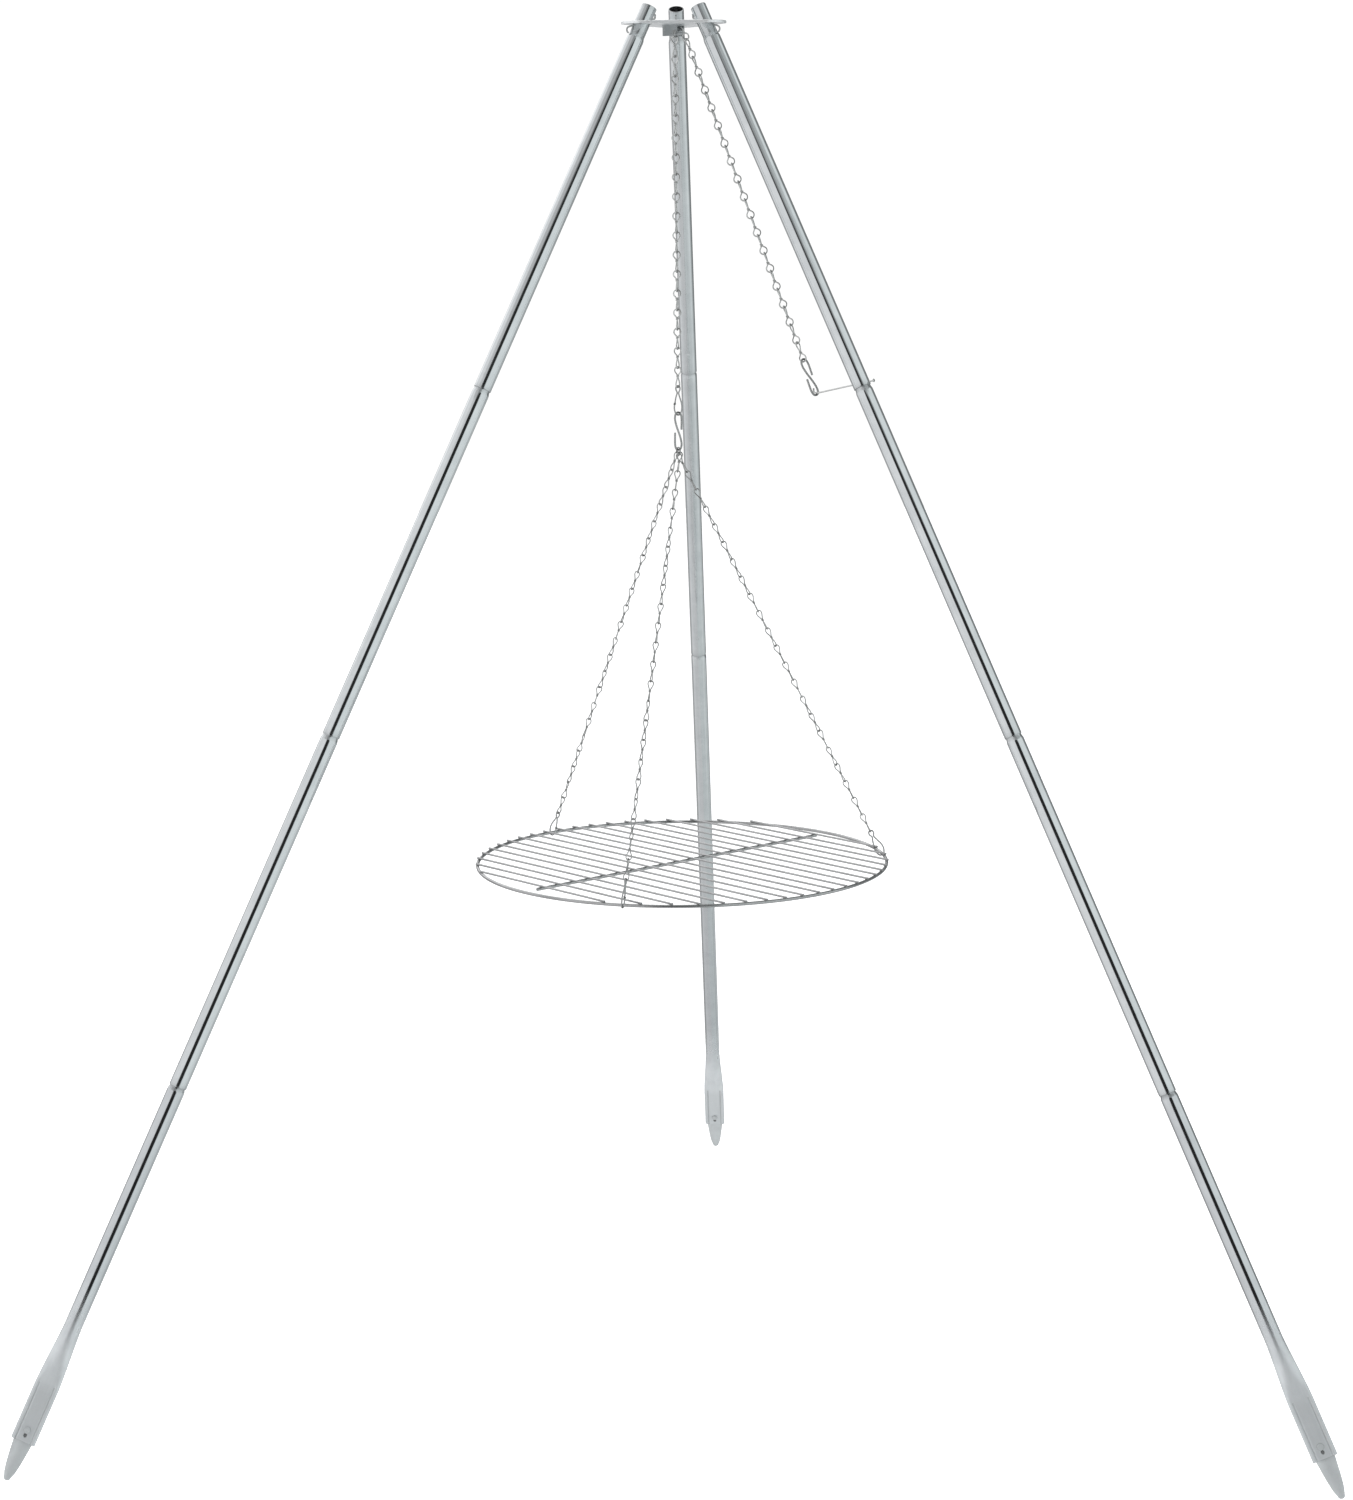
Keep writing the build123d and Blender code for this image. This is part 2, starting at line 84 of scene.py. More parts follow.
HOOK_ANGLES = (12.8, 135.0, 257.2)
ADJUSTER_SLOPE, ADJUSTER_AZIMUTH = 23.2, 330.0  # down from the hub towards the right leg


# ---- mesh building --------------------------------------------------------------------------
CUT_INSET, CUT_RADIUS = 0.35, 0.72  # broken edge of a cut wire end, as shares of the wire's radius


def even_turns(count):
    return [2 * pi * step / count for step in range(count)]


def circle(radius, height, count):
    return [(radius * cos(turn), radius * sin(turn), height) for turn in even_turns(count)]


def add_object(name, data):
    made = bpy.data.objects.new(name, data)
    bpy.context.scene.collection.objects.link(made)
    return made


class Shell:
    """Vertices, faces and a value per vertex of grime and painted shade, collected in millimetres.
    """

    def __init__(self):
        self.verts, self.faces, self.grime_and_shade = [], [], []

    def ring(self, points, grime_and_shade=0.0):
        first = len(self.verts)
        self.verts += [Vector(point) for point in points]
        self.grime_and_shade += [grime_and_shade] * len(points)
        return list(range(first, len(self.verts)))

    def bridge(self, low, high):
        count = len(low)
        for step in range(count):
            after = (step + 1) % count
            self.faces.append((low[step], low[after], high[after], high[step]))

    def skin(self, rings):
        for low, high in zip(rings, rings[1:]):
            self.bridge(low, high)

    def cap(self, ring, flip=False):
        self.faces.append(tuple(reversed(ring)) if flip else tuple(ring))

    def cap_ends(self, rings):
        self.cap(rings[0], flip=True)
        self.cap(rings[-1])

    def add(self, other, matrix):
        first = len(self.verts)
        self.verts += [matrix @ vert for vert in other.verts]
        self.faces += [tuple(first + index for index in face) for face in other.faces]
        self.grime_and_shade += other.grime_and_shade

    def piece(self, name, matrix, material, body, slot, *nodes, sharp=35.0):
        """Makes the object, in place, with its finish, its body and the CAD nodes it stands for."""
        mesh = bpy.data.meshes.new(name)
        mesh.from_pydata([vert * MM for vert in self.verts], [], self.faces)
        mesh.validate()
        layer = mesh.attributes.new("grime_and_shade", "FLOAT", "POINT")
        layer.data.foreach_set("value", self.grime_and_shade)
        mesh.shade_smooth()
        mesh.set_sharp_from_angle(angle=radians(sharp))
        mesh.materials.append(material)
        piece = add_object(name, mesh)
        placed = matrix.copy()
        placed.translation = matrix.translation * MM
        piece.matrix_world = placed
        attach(piece, body)
        if nodes:
            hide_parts(*nodes)


def sweep(shell, points, radius, sides=12, closed=False, grime_and_shade=None):
    """Round wire along a smooth line of points, with broken edges at its cut ends."""
    points = [Vector(point) for point in points]
    count = len(points)
    radii = [radius] * count
    if not closed:
        inset = CUT_INSET * radius
        lead = points[0] + (points[1] - points[0]).normalized() * inset
        tail = points[-1] + (points[-2] - points[-1]).normalized() * inset
        points = [points[0], lead] + points[1:-1] + [tail, points[-1]]
        count = len(points)
        radii = [CUT_RADIUS * radius] + [radius] * (count - 2) + [CUT_RADIUS * radius]
    tangents = []
    for index in range(count):
        if closed:
            span = points[(index + 1) % count] - points[index - 1]
        else:
            span = points[min(index + 1, count - 1)] - points[max(index - 1, 0)]
        tangents.append(span.normalized())
    side = tangents[0].orthogonal().normalized()
    rings = []
    for index, point in enumerate(points):
        side = (side - tangents[index] * side.dot(tangents[index])).normalized()
        up = tangents[index].cross(side)
        # grime and painted shade for this ring of the wire
        grime_and_shade_amount = grime_and_shade(point) if grime_and_shade else 0.0
        around = [point + (side * cos(t) + up * sin(t)) * radii[index] for t in even_turns(sides)]
        rings.append(shell.ring(around, grime_and_shade_amount))
    shell.skin(rings)
    if closed:
        # the frame may come round turned, so the last ring joins the nearest matching vertex
        start = shell.verts[rings[0][0]]
        shift = min(range(sides), key=lambda s: (shell.verts[rings[-1][s]] - start).length)
        shell.bridge(rings[-1][shift:] + rings[-1][:shift], rings[0])
    else:
        shell.cap_ends(rings)


def spline(points, steps=8):
    """Points along a smooth line through the given points."""
    points = [Vector(point) for point in points]
    ends = [2 * points[0] - points[1]] + points + [2 * points[-1] - points[-2]]
    line = []
    for a, b, c, d in zip(ends, ends[1:], ends[2:], ends[3:]):
        for step in range(steps):
            t = step / steps
            line.append(
                0.5 * (2 * b + (c - a) * t + (2 * a - 5 * b + 4 * c - d) * t**2
                       + (3 * b - a - 3 * c + d) * t**3)
            )
    return line + [points[-1]]


def rounded(points, radius, steps=7):
    """A run of straight lines with its corners rounded, as bent wire has them."""
    points = [Vector(point) for point in points]
    line = [points[0]]
    for before, corner, after in zip(points, points[1:], points[2:]):
        back, on = (before - corner).normalized(), (after - corner).normalized()
        half = acos(max(-1.0, min(1.0, back.dot(on)))) / 2
        reach = radius / tan(half)
        centre = corner + (back + on).normalized() * (radius / sin(half))
        first, last = corner + back * reach - centre, corner + on * reach - centre
        for step in range(steps + 1):
            line.append(centre + first.slerp(last, step / steps))
    return line + [points[-1]]


def divided(a, b, count):
    return [a.lerp(b, step / count) for step in range(count + 1)]


def lathe(shell, profile, segments, change=None, close=True):
    """Turns a half section of (radius, height, grime and painted shade) round the local Z axis.

    The section closes on itself, or else its two ends are capped. change moves each vertex.
    """
    rings = [shell.ring(circle(radius, height, segments), grime_and_shade_amount) for radius, height, grime_and_shade_amount in profile]
    if change:
        for index in [i for ring in rings for i in ring]:
            shell.verts[index] = change(shell.verts[index])
    shell.skin(rings)
    if close:
        shell.bridge(rings[-1], rings[0])
    else:
        shell.cap_ends(rings)


def axes_matrix(origin, x_axis, z_axis):
    x_axis, z_axis = Vector(x_axis).normalized(), Vector(z_axis).normalized()
    y_axis = z_axis.cross(x_axis)
    matrix = Matrix((x_axis, y_axis, z_axis)).transposed().to_4x4()
    matrix.translation = Vector(origin)
    return matrix


def leg_matrix(side):
    """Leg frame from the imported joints: Z up the leg, X outwards, origin in the hub plate."""
    hinge = joints[f"leg_{side}_fold"]
    up_leg = -Vector(joints[f"leg_{side}_joint_2"]["axis"])
    outward = Vector(hinge["axis"]).cross(up_leg)
    return axes_matrix(Vector(hinge["pos_m"]) / MM, outward, up_leg)


def hanger(u, v, z):
    """A point along and across the adjuster's direction, and its height from the hub plate."""
    a = radians(ADJUSTER_AZIMUTH)
    return Vector((u * cos(a) + v * sin(a), u * sin(a) - v * cos(a), HUB_HEIGHT + z))


def hanger_vector(u, v, z):
    return hanger(u, v, z) - hanger(0, 0, 0)


# ---- materials ------------------------------------------------------------------------------
SPANGLE_SCALE, MOTTLE_SCALE, GRAIN_SCALE = 150.0, 38.0, 1400.0
MOTTLE_SHARE, STREAK_SHARE, FLAKE_SHARE = 0.4, 0.38, 0.22  # of the colour
STREAK_RELIEF, GRAIN_RELIEF, FLAKE_RELIEF = 0.6, 0.25, 0.1
RELIEF_DEPTH = 0.00004
# near black, for painted shade in hollows, creases and contacts, and for dark weld joints
GRIME_AND_SHADE_COLOUR, GRIME_AND_SHADE_ROUGHNESS = (0.05, 0.05, 0.048, 1.0), 0.3


class NodeTree:
    """Short ways to add nodes to the tree of a material or a world."""

    def __init__(self, owner):
        owner.use_nodes = True
        self.nodes, self.link = owner.node_tree.nodes, owner.node_tree.links.new

    def node(self, kind, **values):
        made = self.nodes.new(kind)
        for key, value in values.items():
            if key in made.inputs:
                made.inputs[key].default_value = value
            else:
                setattr(made, key, value)
        return made

    def feed(self, socket, value):
        if hasattr(value, "links"):
            self.link(value, socket)
        else:
            socket.default_value = value

    def blend(self, factor, a, b):
        mix = self.node("ShaderNodeMix", data_type="RGBA")
        for index, value in ((0, factor), (6, a), (7, b)):
            self.feed(mix.inputs[index], value)
        return mix.outputs[2]

    def ranged(self, value, low, high, to_low, to_high, interpolation="LINEAR"):
        made = self.node("ShaderNodeMapRange", interpolation_type=interpolation)
        self.link(value, made.inputs["Value"])
        limits = {"From Min": low, "From Max": high, "To Min": to_low, "To Max": to_high}
        for key, number in limits.items():
            made.inputs[key].default_value = number
        return made.outputs["Result"]

    def maths(self, operation, first, *others):
        """Works through the values in turn, from the left."""
        for other in others or (None,):
            made = self.node("ShaderNodeMath", operation=operation)
            self.feed(made.inputs[0], first)
            if other is not None:
                self.feed(made.inputs[1], other)
            first = made.outputs[0]
        return first


def steel(
    name, dark, light, rough, streak=(260.0, 9.0),
    bump=0.35, grime_and_shade_amount=0.55, metal=1.0, bright_above=None,
):
    """Zinc-coated steel: mottled colour, drawn streaks along Z, fine spangle, painted shade and
    grime in the corners.

    streak gives the scales of the streaks across and along the piece. A matte piece can be as
    bright as the tubes above a height in its own coordinates.
    """
    material = bpy.data.materials.new(name)
    tree = NodeTree(material)
    node, link, blend, ranged, maths = tree.node, tree.link, tree.blend, tree.ranged, tree.maths
    shader = tree.nodes["Principled BSDF"]

    place = node("ShaderNodeTexCoord").outputs["Object"]
    across, along = streak
    stretch = node("ShaderNodeMapping")
    stretch.inputs["Scale"].default_value = (across, across, along)
    link(place, stretch.inputs["Vector"])
    drawn = node("ShaderNodeTexNoise", Scale=1.0, Detail=5.0, Roughness=0.62)
    link(stretch.outputs[0], drawn.inputs["Vector"])
    mottle = node("ShaderNodeTexNoise", Scale=MOTTLE_SCALE, Detail=4.0, Roughness=0.55)
    link(place, mottle.inputs["Vector"])
    cells = node("ShaderNodeTexVoronoi", Scale=SPANGLE_SCALE, feature="F1")
    link(place, cells.inputs["Vector"])
    grain = node("ShaderNodeTexNoise", Scale=GRAIN_SCALE, Detail=2.0)
    link(place, grain.inputs["Vector"])
    attribute = node("ShaderNodeAttribute", attribute_name="grime_and_shade")

    mottled = ranged(mottle.outputs["Fac"], 0.32, 0.68, 0.0, 1.0)
    streaked = ranged(drawn.outputs["Fac"], 0.3, 0.7, 0.0, 1.0)
    flake = ranged(cells.outputs["Color"], 0.0, 1.0, 0.0, 1.0)
    tone = maths(
        "ADD", maths("MULTIPLY", mottled, MOTTLE_SHARE), maths("MULTIPLY", streaked, STREAK_SHARE),
        maths("MULTIPLY", flake, FLAKE_SHARE),
    )
    colour = blend(tone, (*dark, 1.0), (*light, 1.0))
    # The grime attribute darkens the colour towards near black in patches: mostly painted shade in
    # hollows, creases and where parts touch, with some real dark joints at the welds.
    patchy = ranged(mottle.outputs["Fac"], 0.3, 0.6, 0.55, 1.0)
    grime_and_shade_mask = maths("MULTIPLY", attribute.outputs["Fac"], patchy)
    colour = blend(maths("MULTIPLY", grime_and_shade_mask, grime_and_shade_amount), colour, GRIME_AND_SHADE_COLOUR)
    link(colour, shader.inputs["Base Color"])

    low, high = rough
    roughness = ranged(tone, 0.2, 0.8, high, low)
    roughness = maths("ADD", roughness, maths("MULTIPLY", grime_and_shade_mask, GRIME_AND_SHADE_ROUGHNESS))
    shader.inputs["Metallic"].default_value = metal
    if bright_above is not None:
        split = node("ShaderNodeSeparateXYZ")
        link(place, split.inputs[0])
        bright = ranged(split.outputs["Z"], bright_above - 0.03, bright_above + 0.05, 0.0, 1.0)
        roughness = maths("SUBTRACT", roughness, maths("MULTIPLY", bright, (low + high) / 2 - 0.1))
        link(maths("ADD", maths("MULTIPLY", bright, 1.0 - metal), metal), shader.inputs["Metallic"])
    link(roughness, shader.inputs["Roughness"])
    height = maths(
        "ADD", maths("MULTIPLY", drawn.outputs["Fac"], STREAK_RELIEF),
        maths("MULTIPLY", grain.outputs["Fac"], GRAIN_RELIEF),
        maths("MULTIPLY", flake, FLAKE_RELIEF),
    )
    relief = node("ShaderNodeBump", Strength=bump, Distance=RELIEF_DEPTH)
    link(height, relief.inputs["Height"])
    link(relief.outputs[0], shader.inputs["Normal"])
    return material


TUBE = steel("tube_steel", (0.56, 0.59, 0.60), (0.70, 0.73, 0.735), (0.07, 0.14), bump=0.22)
FOOT = steel(
    "foot_steel", (0.53, 0.555, 0.57), (0.63, 0.66, 0.67), (0.36, 0.5), (160.0, 14.0),
    grime_and_shade_amount=1.0, metal=0.45, bright_above=-FLARE_START * MM,
)
SPIKE = steel(
    "spike_steel", (0.45, 0.47, 0.48), (0.54, 0.57, 0.575), (0.42, 0.55), (90.0, 60.0), metal=0.4
)
DISC = steel(
    "disc_steel", (0.68, 0.70, 0.71), (0.80, 0.82, 0.825), (0.3, 0.4), (60.0, 60.0),
    bump=0.1, metal=0.6,
)
PLATE = steel(
    "plate_steel", (0.33, 0.35, 0.36), (0.60, 0.62, 0.62), (0.22, 0.36), (60.0, 60.0), metal=0.85
)
WIRE = steel(
    "wire_steel", (0.35, 0.36, 0.36), (0.54, 0.55, 0.54), (0.18, 0.3), (300.0, 40.0), grime_and_shade_amount=0.8
)
CHAIN = steel(
    "chain_steel", (0.52, 0.53, 0.52), (0.72, 0.73, 0.72), (0.2, 0.32), (500.0, 90.0), grime_and_shade_amount=0.5
)
THIN_CHAIN = steel(
    "thin_chain_steel", (0.36, 0.365, 0.36), (0.56, 0.57, 0.56), (0.2, 0.32), (500.0, 90.0),
    grime_and_shade_amount=0.6,
)
GRATE = steel(
    "grate_steel", (0.33, 0.335, 0.335), (0.50, 0.51, 0.51), (0.14, 0.26), (400.0, 400.0), grime_and_shade_amount=0.6
)


# ---- legs -----------------------------------------------------------------------------------
SEGMENTS = 88
CREASE, CREASE_WIDTH = 9.2, 0.9  # the groove along each side of the spike in a pressed foot
CREASE_DEPTH, BELLY_DEPTH = 0.7, 0.3
EDGE_SINE = 0.30  # points of a ring with a smaller sine make the rounded edges of the flat
EDGE_COSINE = 0.9539


END_ROWS = 6  # rows of a tube's section that make its lower end and its inside


def tube_section(top, taper_start, taper_end, bottom, dimple=None):
    """Closed half section of one tube, from its neck down, outside first and then inside.

    All its places are distances down the leg from the hub plate.
    """
    # The third value of each row is painted shade: on the neck inside the tube above, just below
    # that tube's end, towards this tube's lower end, and all over the inside.
    rows = [(NECK_RADIUS - 0.35, -top, 0.6), (NECK_RADIUS, -top - 0.4, 0.35)]
    for step in range(1, 8):
        share = step / 7
        down = top + 0.4 + (taper_start - top - 0.8) * share
        rows.append((NECK_RADIUS, -down, 0.15 + 0.35 * share**3))
    for step in range(1, 7):
        share = step / 6
        ease = share * share * (3 - 2 * share)
        radius = NECK_RADIUS + (TUBE_RADIUS - NECK_RADIUS) * ease
        down = taper_start + (taper_end - taper_start) * share
        rows.append((radius, -down, 0.45 * (1 - share)))
    stations = set(round(taper_end + (bottom - taper_end) * step / 40, 2) for step in range(1, 40))
    stations |= {round(bottom - gap, 2) for gap in (12.0, 7.0, 4.0, 2.2, 1.2, 0.5)}
    if dimple:
        stations |= {round(dimple + 0.8 * step, 2) for step in range(-7, 8)}
    for w in sorted(stations):
        rows.append((TUBE_RADIUS, -w, 0.5 * exp(-(bottom - w) / 3.0)))
    rows += [(TUBE_RADIUS - 0.12, -bottom + 0.12, 0.7), (TUBE_RADIUS - 0.3, -bottom, 0.7)]
    rows += [(TUBE_RADIUS - TUBE_WALL, -bottom, 1.0), (TUBE_RADIUS - TUBE_WALL, -taper_end, 1.0)]
    rows += [(NECK_RADIUS - TUBE_WALL, -taper_start, 1.0), (NECK_RADIUS - TUBE_WALL, -top, 0.8)]
    return rows


def dented(dimple):
    """Presses a small lock dimple into the side of a tube that faces the middle of the tripod."""
    depth, spread = 0.75, 1.7

    def change(point):
        radius = hypot(point.x, point.y)
        turn = atan2(point.y, point.x)
        if radius < TUBE_RADIUS - 0.5 * TUBE_WALL:
            return point
        away = hypot(TUBE_RADIUS * (pi - abs(turn)), point.z + dimple)
        push = depth * exp(-((away / spread) ** 2))
        factor = (radius - push) / radius
        return Vector((point.x * factor, point.y * factor, point.z))

    return change


def plain_tube(side, number, matrix, body):
    bottom = CUTS[number - 1]
    dimple = bottom - DIMPLE_UP
    if number == 1:
        section = tube_section(-TOP_STUB, *TOP_TAPER, bottom, dimple)
    else:
        above = CUTS[number - 2]
        section = tube_section(
            above - NECK_LENGTH, above + TAPER_START, above + TAPER_END, bottom, dimple
        )
    shell = Shell()
    lathe(shell, section, SEGMENTS, dented(dimple))
    name = f"leg_{side}_tube_{number}"
    shell.piece(f"{name}_body", matrix, TUBE, body, "tube_steel", name)


def flat_section(share, inset, groove):
    """Ring of points between a round tube (share 0) and the pressed oval (share 1).

    inset moves it inwards, for the inner wall; groove is how deep the creases have become.
    """
    ring = []
    radius = TUBE_RADIUS - inset
    straight = (FLAT_WIDTH - FLAT_THICKNESS) / 2
    end = FLAT_THICKNESS / 2 - inset
    for turn in even_turns(SEGMENTS):
        c, s = cos(turn), sin(turn)
        circle = Vector((radius * c, radius * s))
        # the pressed form: even steps along the flats, half rounds at the edges
        if abs(s) > EDGE_SINE:
            x = straight * max(-1.0, min(1.0, c / EDGE_COSINE))
            y = end if s > 0 else -end
        else:
            swing = s / EDGE_SINE
            x = (straight + end * sqrt(max(0.0, 1 - swing * swing))) * (1 if c > 0 else -1)
            y = end * swing
        near = exp(-(((abs(x) - CREASE) / CREASE_WIDTH) ** 2))
        crease = near * CREASE_DEPTH
        belly = BELLY_DEPTH if abs(x) < CREASE else BELLY_DEPTH * near
        if inset == 0.0:
            y -= (crease + belly) * groove * (1 if y > 0 else -1) * min(1.0, abs(y) / end)
        flat = Vector((x, y))
        ring.append(circle.lerp(flat, share))
    return ring


def pressed(share):
    """How far the flare has gone from round to flat: nearly straight, with softened ends."""
    return share + 0.35 * (share * share * (3 - 2 * share) - share)


def foot_tube(side, matrix, body):
    """Lowest tube: round, then flared and pressed flat round the spike, with a crease each side."""
    shell = Shell()
    top, above, bottom = CUTS[2] - NECK_LENGTH, CUTS[2], CUTS[3]
    section = tube_section(top, above + TAPER_START, above + TAPER_END, bottom)
    outer = [row for row in section[:-END_ROWS] if -row[1] < FLARE_START - 4]
    rings = [shell.ring(circle(radius, height, SEGMENTS), grime_and_shade_amount) for radius, height, grime_and_shade_amount in outer]
    stations = [FLARE_START + FLARE_LENGTH * step / 30 for step in range(31)]
    stations += [FLARE_END + (FLAT_LENGTH - 0.6) * step / 70 for step in range(1, 71)]
    for w in stations:
        share = min(1.0, (w - FLARE_START) / FLARE_LENGTH)
        ease = pressed(share)
        groove = max(0.0, min(1.0, (w - FLARE_END + 4.0) / 14.0))
        ring = flat_section(ease, 0.0, groove)
        points = []
        for x, y in ring:
            if share >= 1.0 and abs(y) > 1.5:
                away = hypot(x / 1.5, (w - (bottom - RIVET_UP) - PIT_BELOW) / 2.1)
                y -= (1 if y > 0 else -1) * PIT_DEPTH * exp(-(away**4))
            points.append((x, y, -w))
        # a little painted shade on the flats as the creases deepen
        rings.append(shell.ring(points, 0.12 * groove))
    # the lower lip, with painted shade
    lip = [(p.x * 0.985, p.y * 0.93, -bottom) for p in flat_section(1.0, 0.0, 1.0)]
    rings.append(shell.ring(lip, 0.5))
    shell.skin(rings)
    inner = []
    for w in [bottom, FLARE_END] + [FLARE_END - FLARE_LENGTH * step / 10 for step in range(1, 11)]:
        ease = pressed(max(0.0, min(1.0, (w - FLARE_START) / FLARE_LENGTH)))
        # the inside wall is painted dark as shade
        inner.append(shell.ring([(p.x, p.y, -w) for p in flat_section(ease, TUBE_WALL, 0.0)], 1.0))
    taper = ((TUBE_RADIUS, above + TAPER_END), (NECK_RADIUS, above + TAPER_START))
    for radius, w in (*taper, (NECK_RADIUS, top)):
        inner.append(shell.ring(circle(radius - TUBE_WALL, -w, SEGMENTS), 1.0))
    shell.bridge(rings[-1], inner[0])
    shell.skin(inner)
    shell.bridge(inner[-1], rings[0])
    # painted shade along the creases, and in the pit under the rivet on both flats
    for index, vert in enumerate(shell.verts):
        crease = pit = 0.0
        if -vert.z > FLARE_END:
            crease = exp(-((abs(vert.x) - CREASE) ** 2))
        if abs(vert.y) > 1:
            pit = exp(-(hypot(vert.x / 1.8, (-vert.z - bottom + PIT_SHADE_UP) / 2.4) ** 4))
        shell.grime_and_shade[index] = max(shell.grime_and_shade[index], CREASE_SHADE * crease, PIT_SHADE * pit)
    name = f"leg_{side}_foot_tube"
    shell.piece(f"{name}_body", matrix, FOOT, body, "tube_steel", name)


SPIKE_BULGE, TIP_STEPS = 1.3, 14
# layers through the spike's thickness, and how far the broken edges bring each one in
SPIKE_LAYERS = ((-1.6, 0.55), (-1.35, 0.18), (-1.0, 0.0), (1.0, 0.0), (1.35, 0.18), (1.6, 0.55))


def spike(side, matrix, body):
    """Flat tapered spike with broken edges and slightly bulged sides.

    Its tip rests on the ground. The outline starts with the rounded tip, then goes up the left
    side and down the right one.
    """
    turn, bottom = radians(FOOT_TURNS[side]), CUTS[3]
    up_leg = matrix.col[2]
    lean_cos, lean_sin = up_leg[2], hypot(up_leg[0], up_leg[1])
    reach = SPIKE_TIP * sqrt(lean_cos**2 + (lean_sin * cos(turn)) ** 2)
    reach += SPIKE_THICKNESS / 2 * lean_sin * abs(sin(turn))
    tip = (HUB_HEIGHT - reach) / lean_cos
    arc = [-pi * step / TIP_STEPS for step in range(TIP_STEPS + 1)]
    outline = [(SPIKE_TIP * cos(a), -tip + SPIKE_TIP * sin(a)) for a in arc]
    left = divided(Vector((-SPIKE_TIP, -tip)), Vector((-SPIKE_WIDTH / 2, -bottom)), 8)[1:]
    bulges = [SPIKE_BULGE * sin(pi * (step / 8) ** 0.6) for step in range(1, 9)]
    left = [point - Vector((bulge, 0)) for point, bulge in zip(left, bulges)]
    left += divided(left[-1], Vector((-SPIKE_WIDTH / 2, -bottom + SPIKE_INSIDE)), 4)[1:]
    outline += [tuple(point) for point in left]
    outline += [(-x, z) for x, z in reversed(outline[len(arc):])]
    centre_z = -bottom
    shell = Shell()
    rings = []
    for level, inset in SPIKE_LAYERS:
        points = []
        for x, z in outline:
            pull = Vector((x, z - centre_z))
            shrink = max(0.0, 1 - inset / max(4.0, pull.length))
            narrow = x * (1 - inset / (abs(x) + 4.0))
            points.append((narrow, level, centre_z + (z - centre_z) * shrink))
        # the two layers at the broken edges are painted darker
        rings.append(shell.ring(points, 0.35 if abs(level) == 1.35 else 0.0))
    shell.skin(rings)
    # the flat sides, in strips from the tip to the one triangle at the top
    count, half = len(outline), len(outline) // 2
    for ring, flip in ((rings[0], True), (rings[-1], False)):
        order = ring[TIP_STEPS // 2:] + ring[: TIP_STEPS // 2]
        for step in range(half - 1):
            strip = (order[step], order[step + 1], order[count - 2 - step], order[count - 1 - step])
            shell.cap(strip, flip)
        shell.cap(order[half - 1 : half + 2], flip)
    name = f"leg_{side}_spike"
    placed = Shell()
    placed.add(shell, matrix)
    placed.piece(f"{name}_blade", HERE, SPIKE, body, "spike_steel", name, sharp=50.0)


SHADED_RIM_START = 3.9  # a rivet's head is painted with shade outside this radius, round its rim


def spike_rivet(side, matrix, body):
    """Rivet through the foot: a flat domed head in front and a spread one behind."""
    shell = Shell()
    half, head = FLAT_THICKNESS / 2, 4.2
    front = [(2.2, half - 0.6), (4.0, half - 0.55), (head, half - 0.3), (4.1, half - 0.05)]
    front += [(3.7, half + 0.15), (2.8, half + 0.3), (1.4, half + 0.38), (0.05, half + 0.4)]
    back = [(0.05, -half - 0.9), (1.3, -half - 0.95), (1.7, -half - 1.25), (3.1, -half - 1.2)]
    back += [(3.9, -half - 0.8), (4.1, -half - 0.2), (3.9, -half + 0.5), (2.2, -half + 0.6)]
    # painted shade round the rim of each head, and a little over the rest
    profile = [(radius, z, 1.0 if radius > SHADED_RIM_START else 0.2) for radius, z in back + front]
    turned = Shell()
    lathe(turned, profile, 32, close=False)
    place = Matrix.Translation((0, 0, -(CUTS[3] - RIVET_UP)))
    shell.add(turned, place @ Matrix.Rotation(radians(90), 4, "X"))
    name = f"leg_{side}_spike_rivet"
    shell.piece(f"{name}_heads", matrix, SPIKE, body, "plate_steel", name)


def stop_pin(side, matrix, body):
    """Wire pin that slants through the tube and curls under the plate."""
    inner, outer = Vector((-12.9, 0, 11.6)), Vector((13.6, 0, -12.24))
    end = Vector((10.9, 0, -18.6))
    line = rounded([(-10.6, 0, 16.4), inner, outer], 1.4)
    heading = (outer - inner).normalized()
    normal = Vector((heading.z, 0, -heading.x))
    gap = end - outer
    if gap.dot(normal) < 0:
        normal = -normal
    radius = gap.length_squared / (2 * gap.dot(normal))
    centre = outer + normal * radius
    sweep_angle = 2 * atan2(gap.dot(normal), gap.dot(heading))
    for step in range(1, 15):
        angle = sweep_angle * step / 14
        line.append(centre - normal * radius * cos(angle) + heading * radius * sin(angle))
    shell = Shell()
    sweep(shell, line, PIN_WIRE, sides=14)
    name = f"leg_{side}_stop_pin"
    shell.piece(f"{name}_wire", matrix, WIRE, body, "wire_steel", name)


for side in SIDES:
    matrix = leg_matrix(side)
    turned = matrix @ Matrix.Rotation(radians(FOOT_TURNS[side]), 4, "Z")
    upper = f"leg_{side}_top"
    plain_tube(side, 1, matrix, upper)
    plain_tube(side, 2, matrix, upper if side == "right" else f"leg_{side}_second")
    plain_tube(side, 3, matrix, f"leg_{side}_third")
    foot_tube(side, turned, f"leg_{side}_foot")
    spike(side, turned, f"leg_{side}_foot")
    spike_rivet(side, turned, f"leg_{side}_foot")
    stop_pin(side, matrix, upper)


# ---- chain ----------------------------------------------------------------------------------
LOOP_HALF = {"upper": 3.95, "lower": 3.95, "slender": 3.2}  # half width of a drawn loop
WIRE_SHARE = {"upper": 0.96, "lower": 0.96, "slender": 1.08}  # of the wire in the CAD model
KNOT_TURNS, KNOT_STEPS, KNOT_RADIUS, KNOT_WIRE = 1.75, 22, 1.6, 0.75  # sizes in wire radii


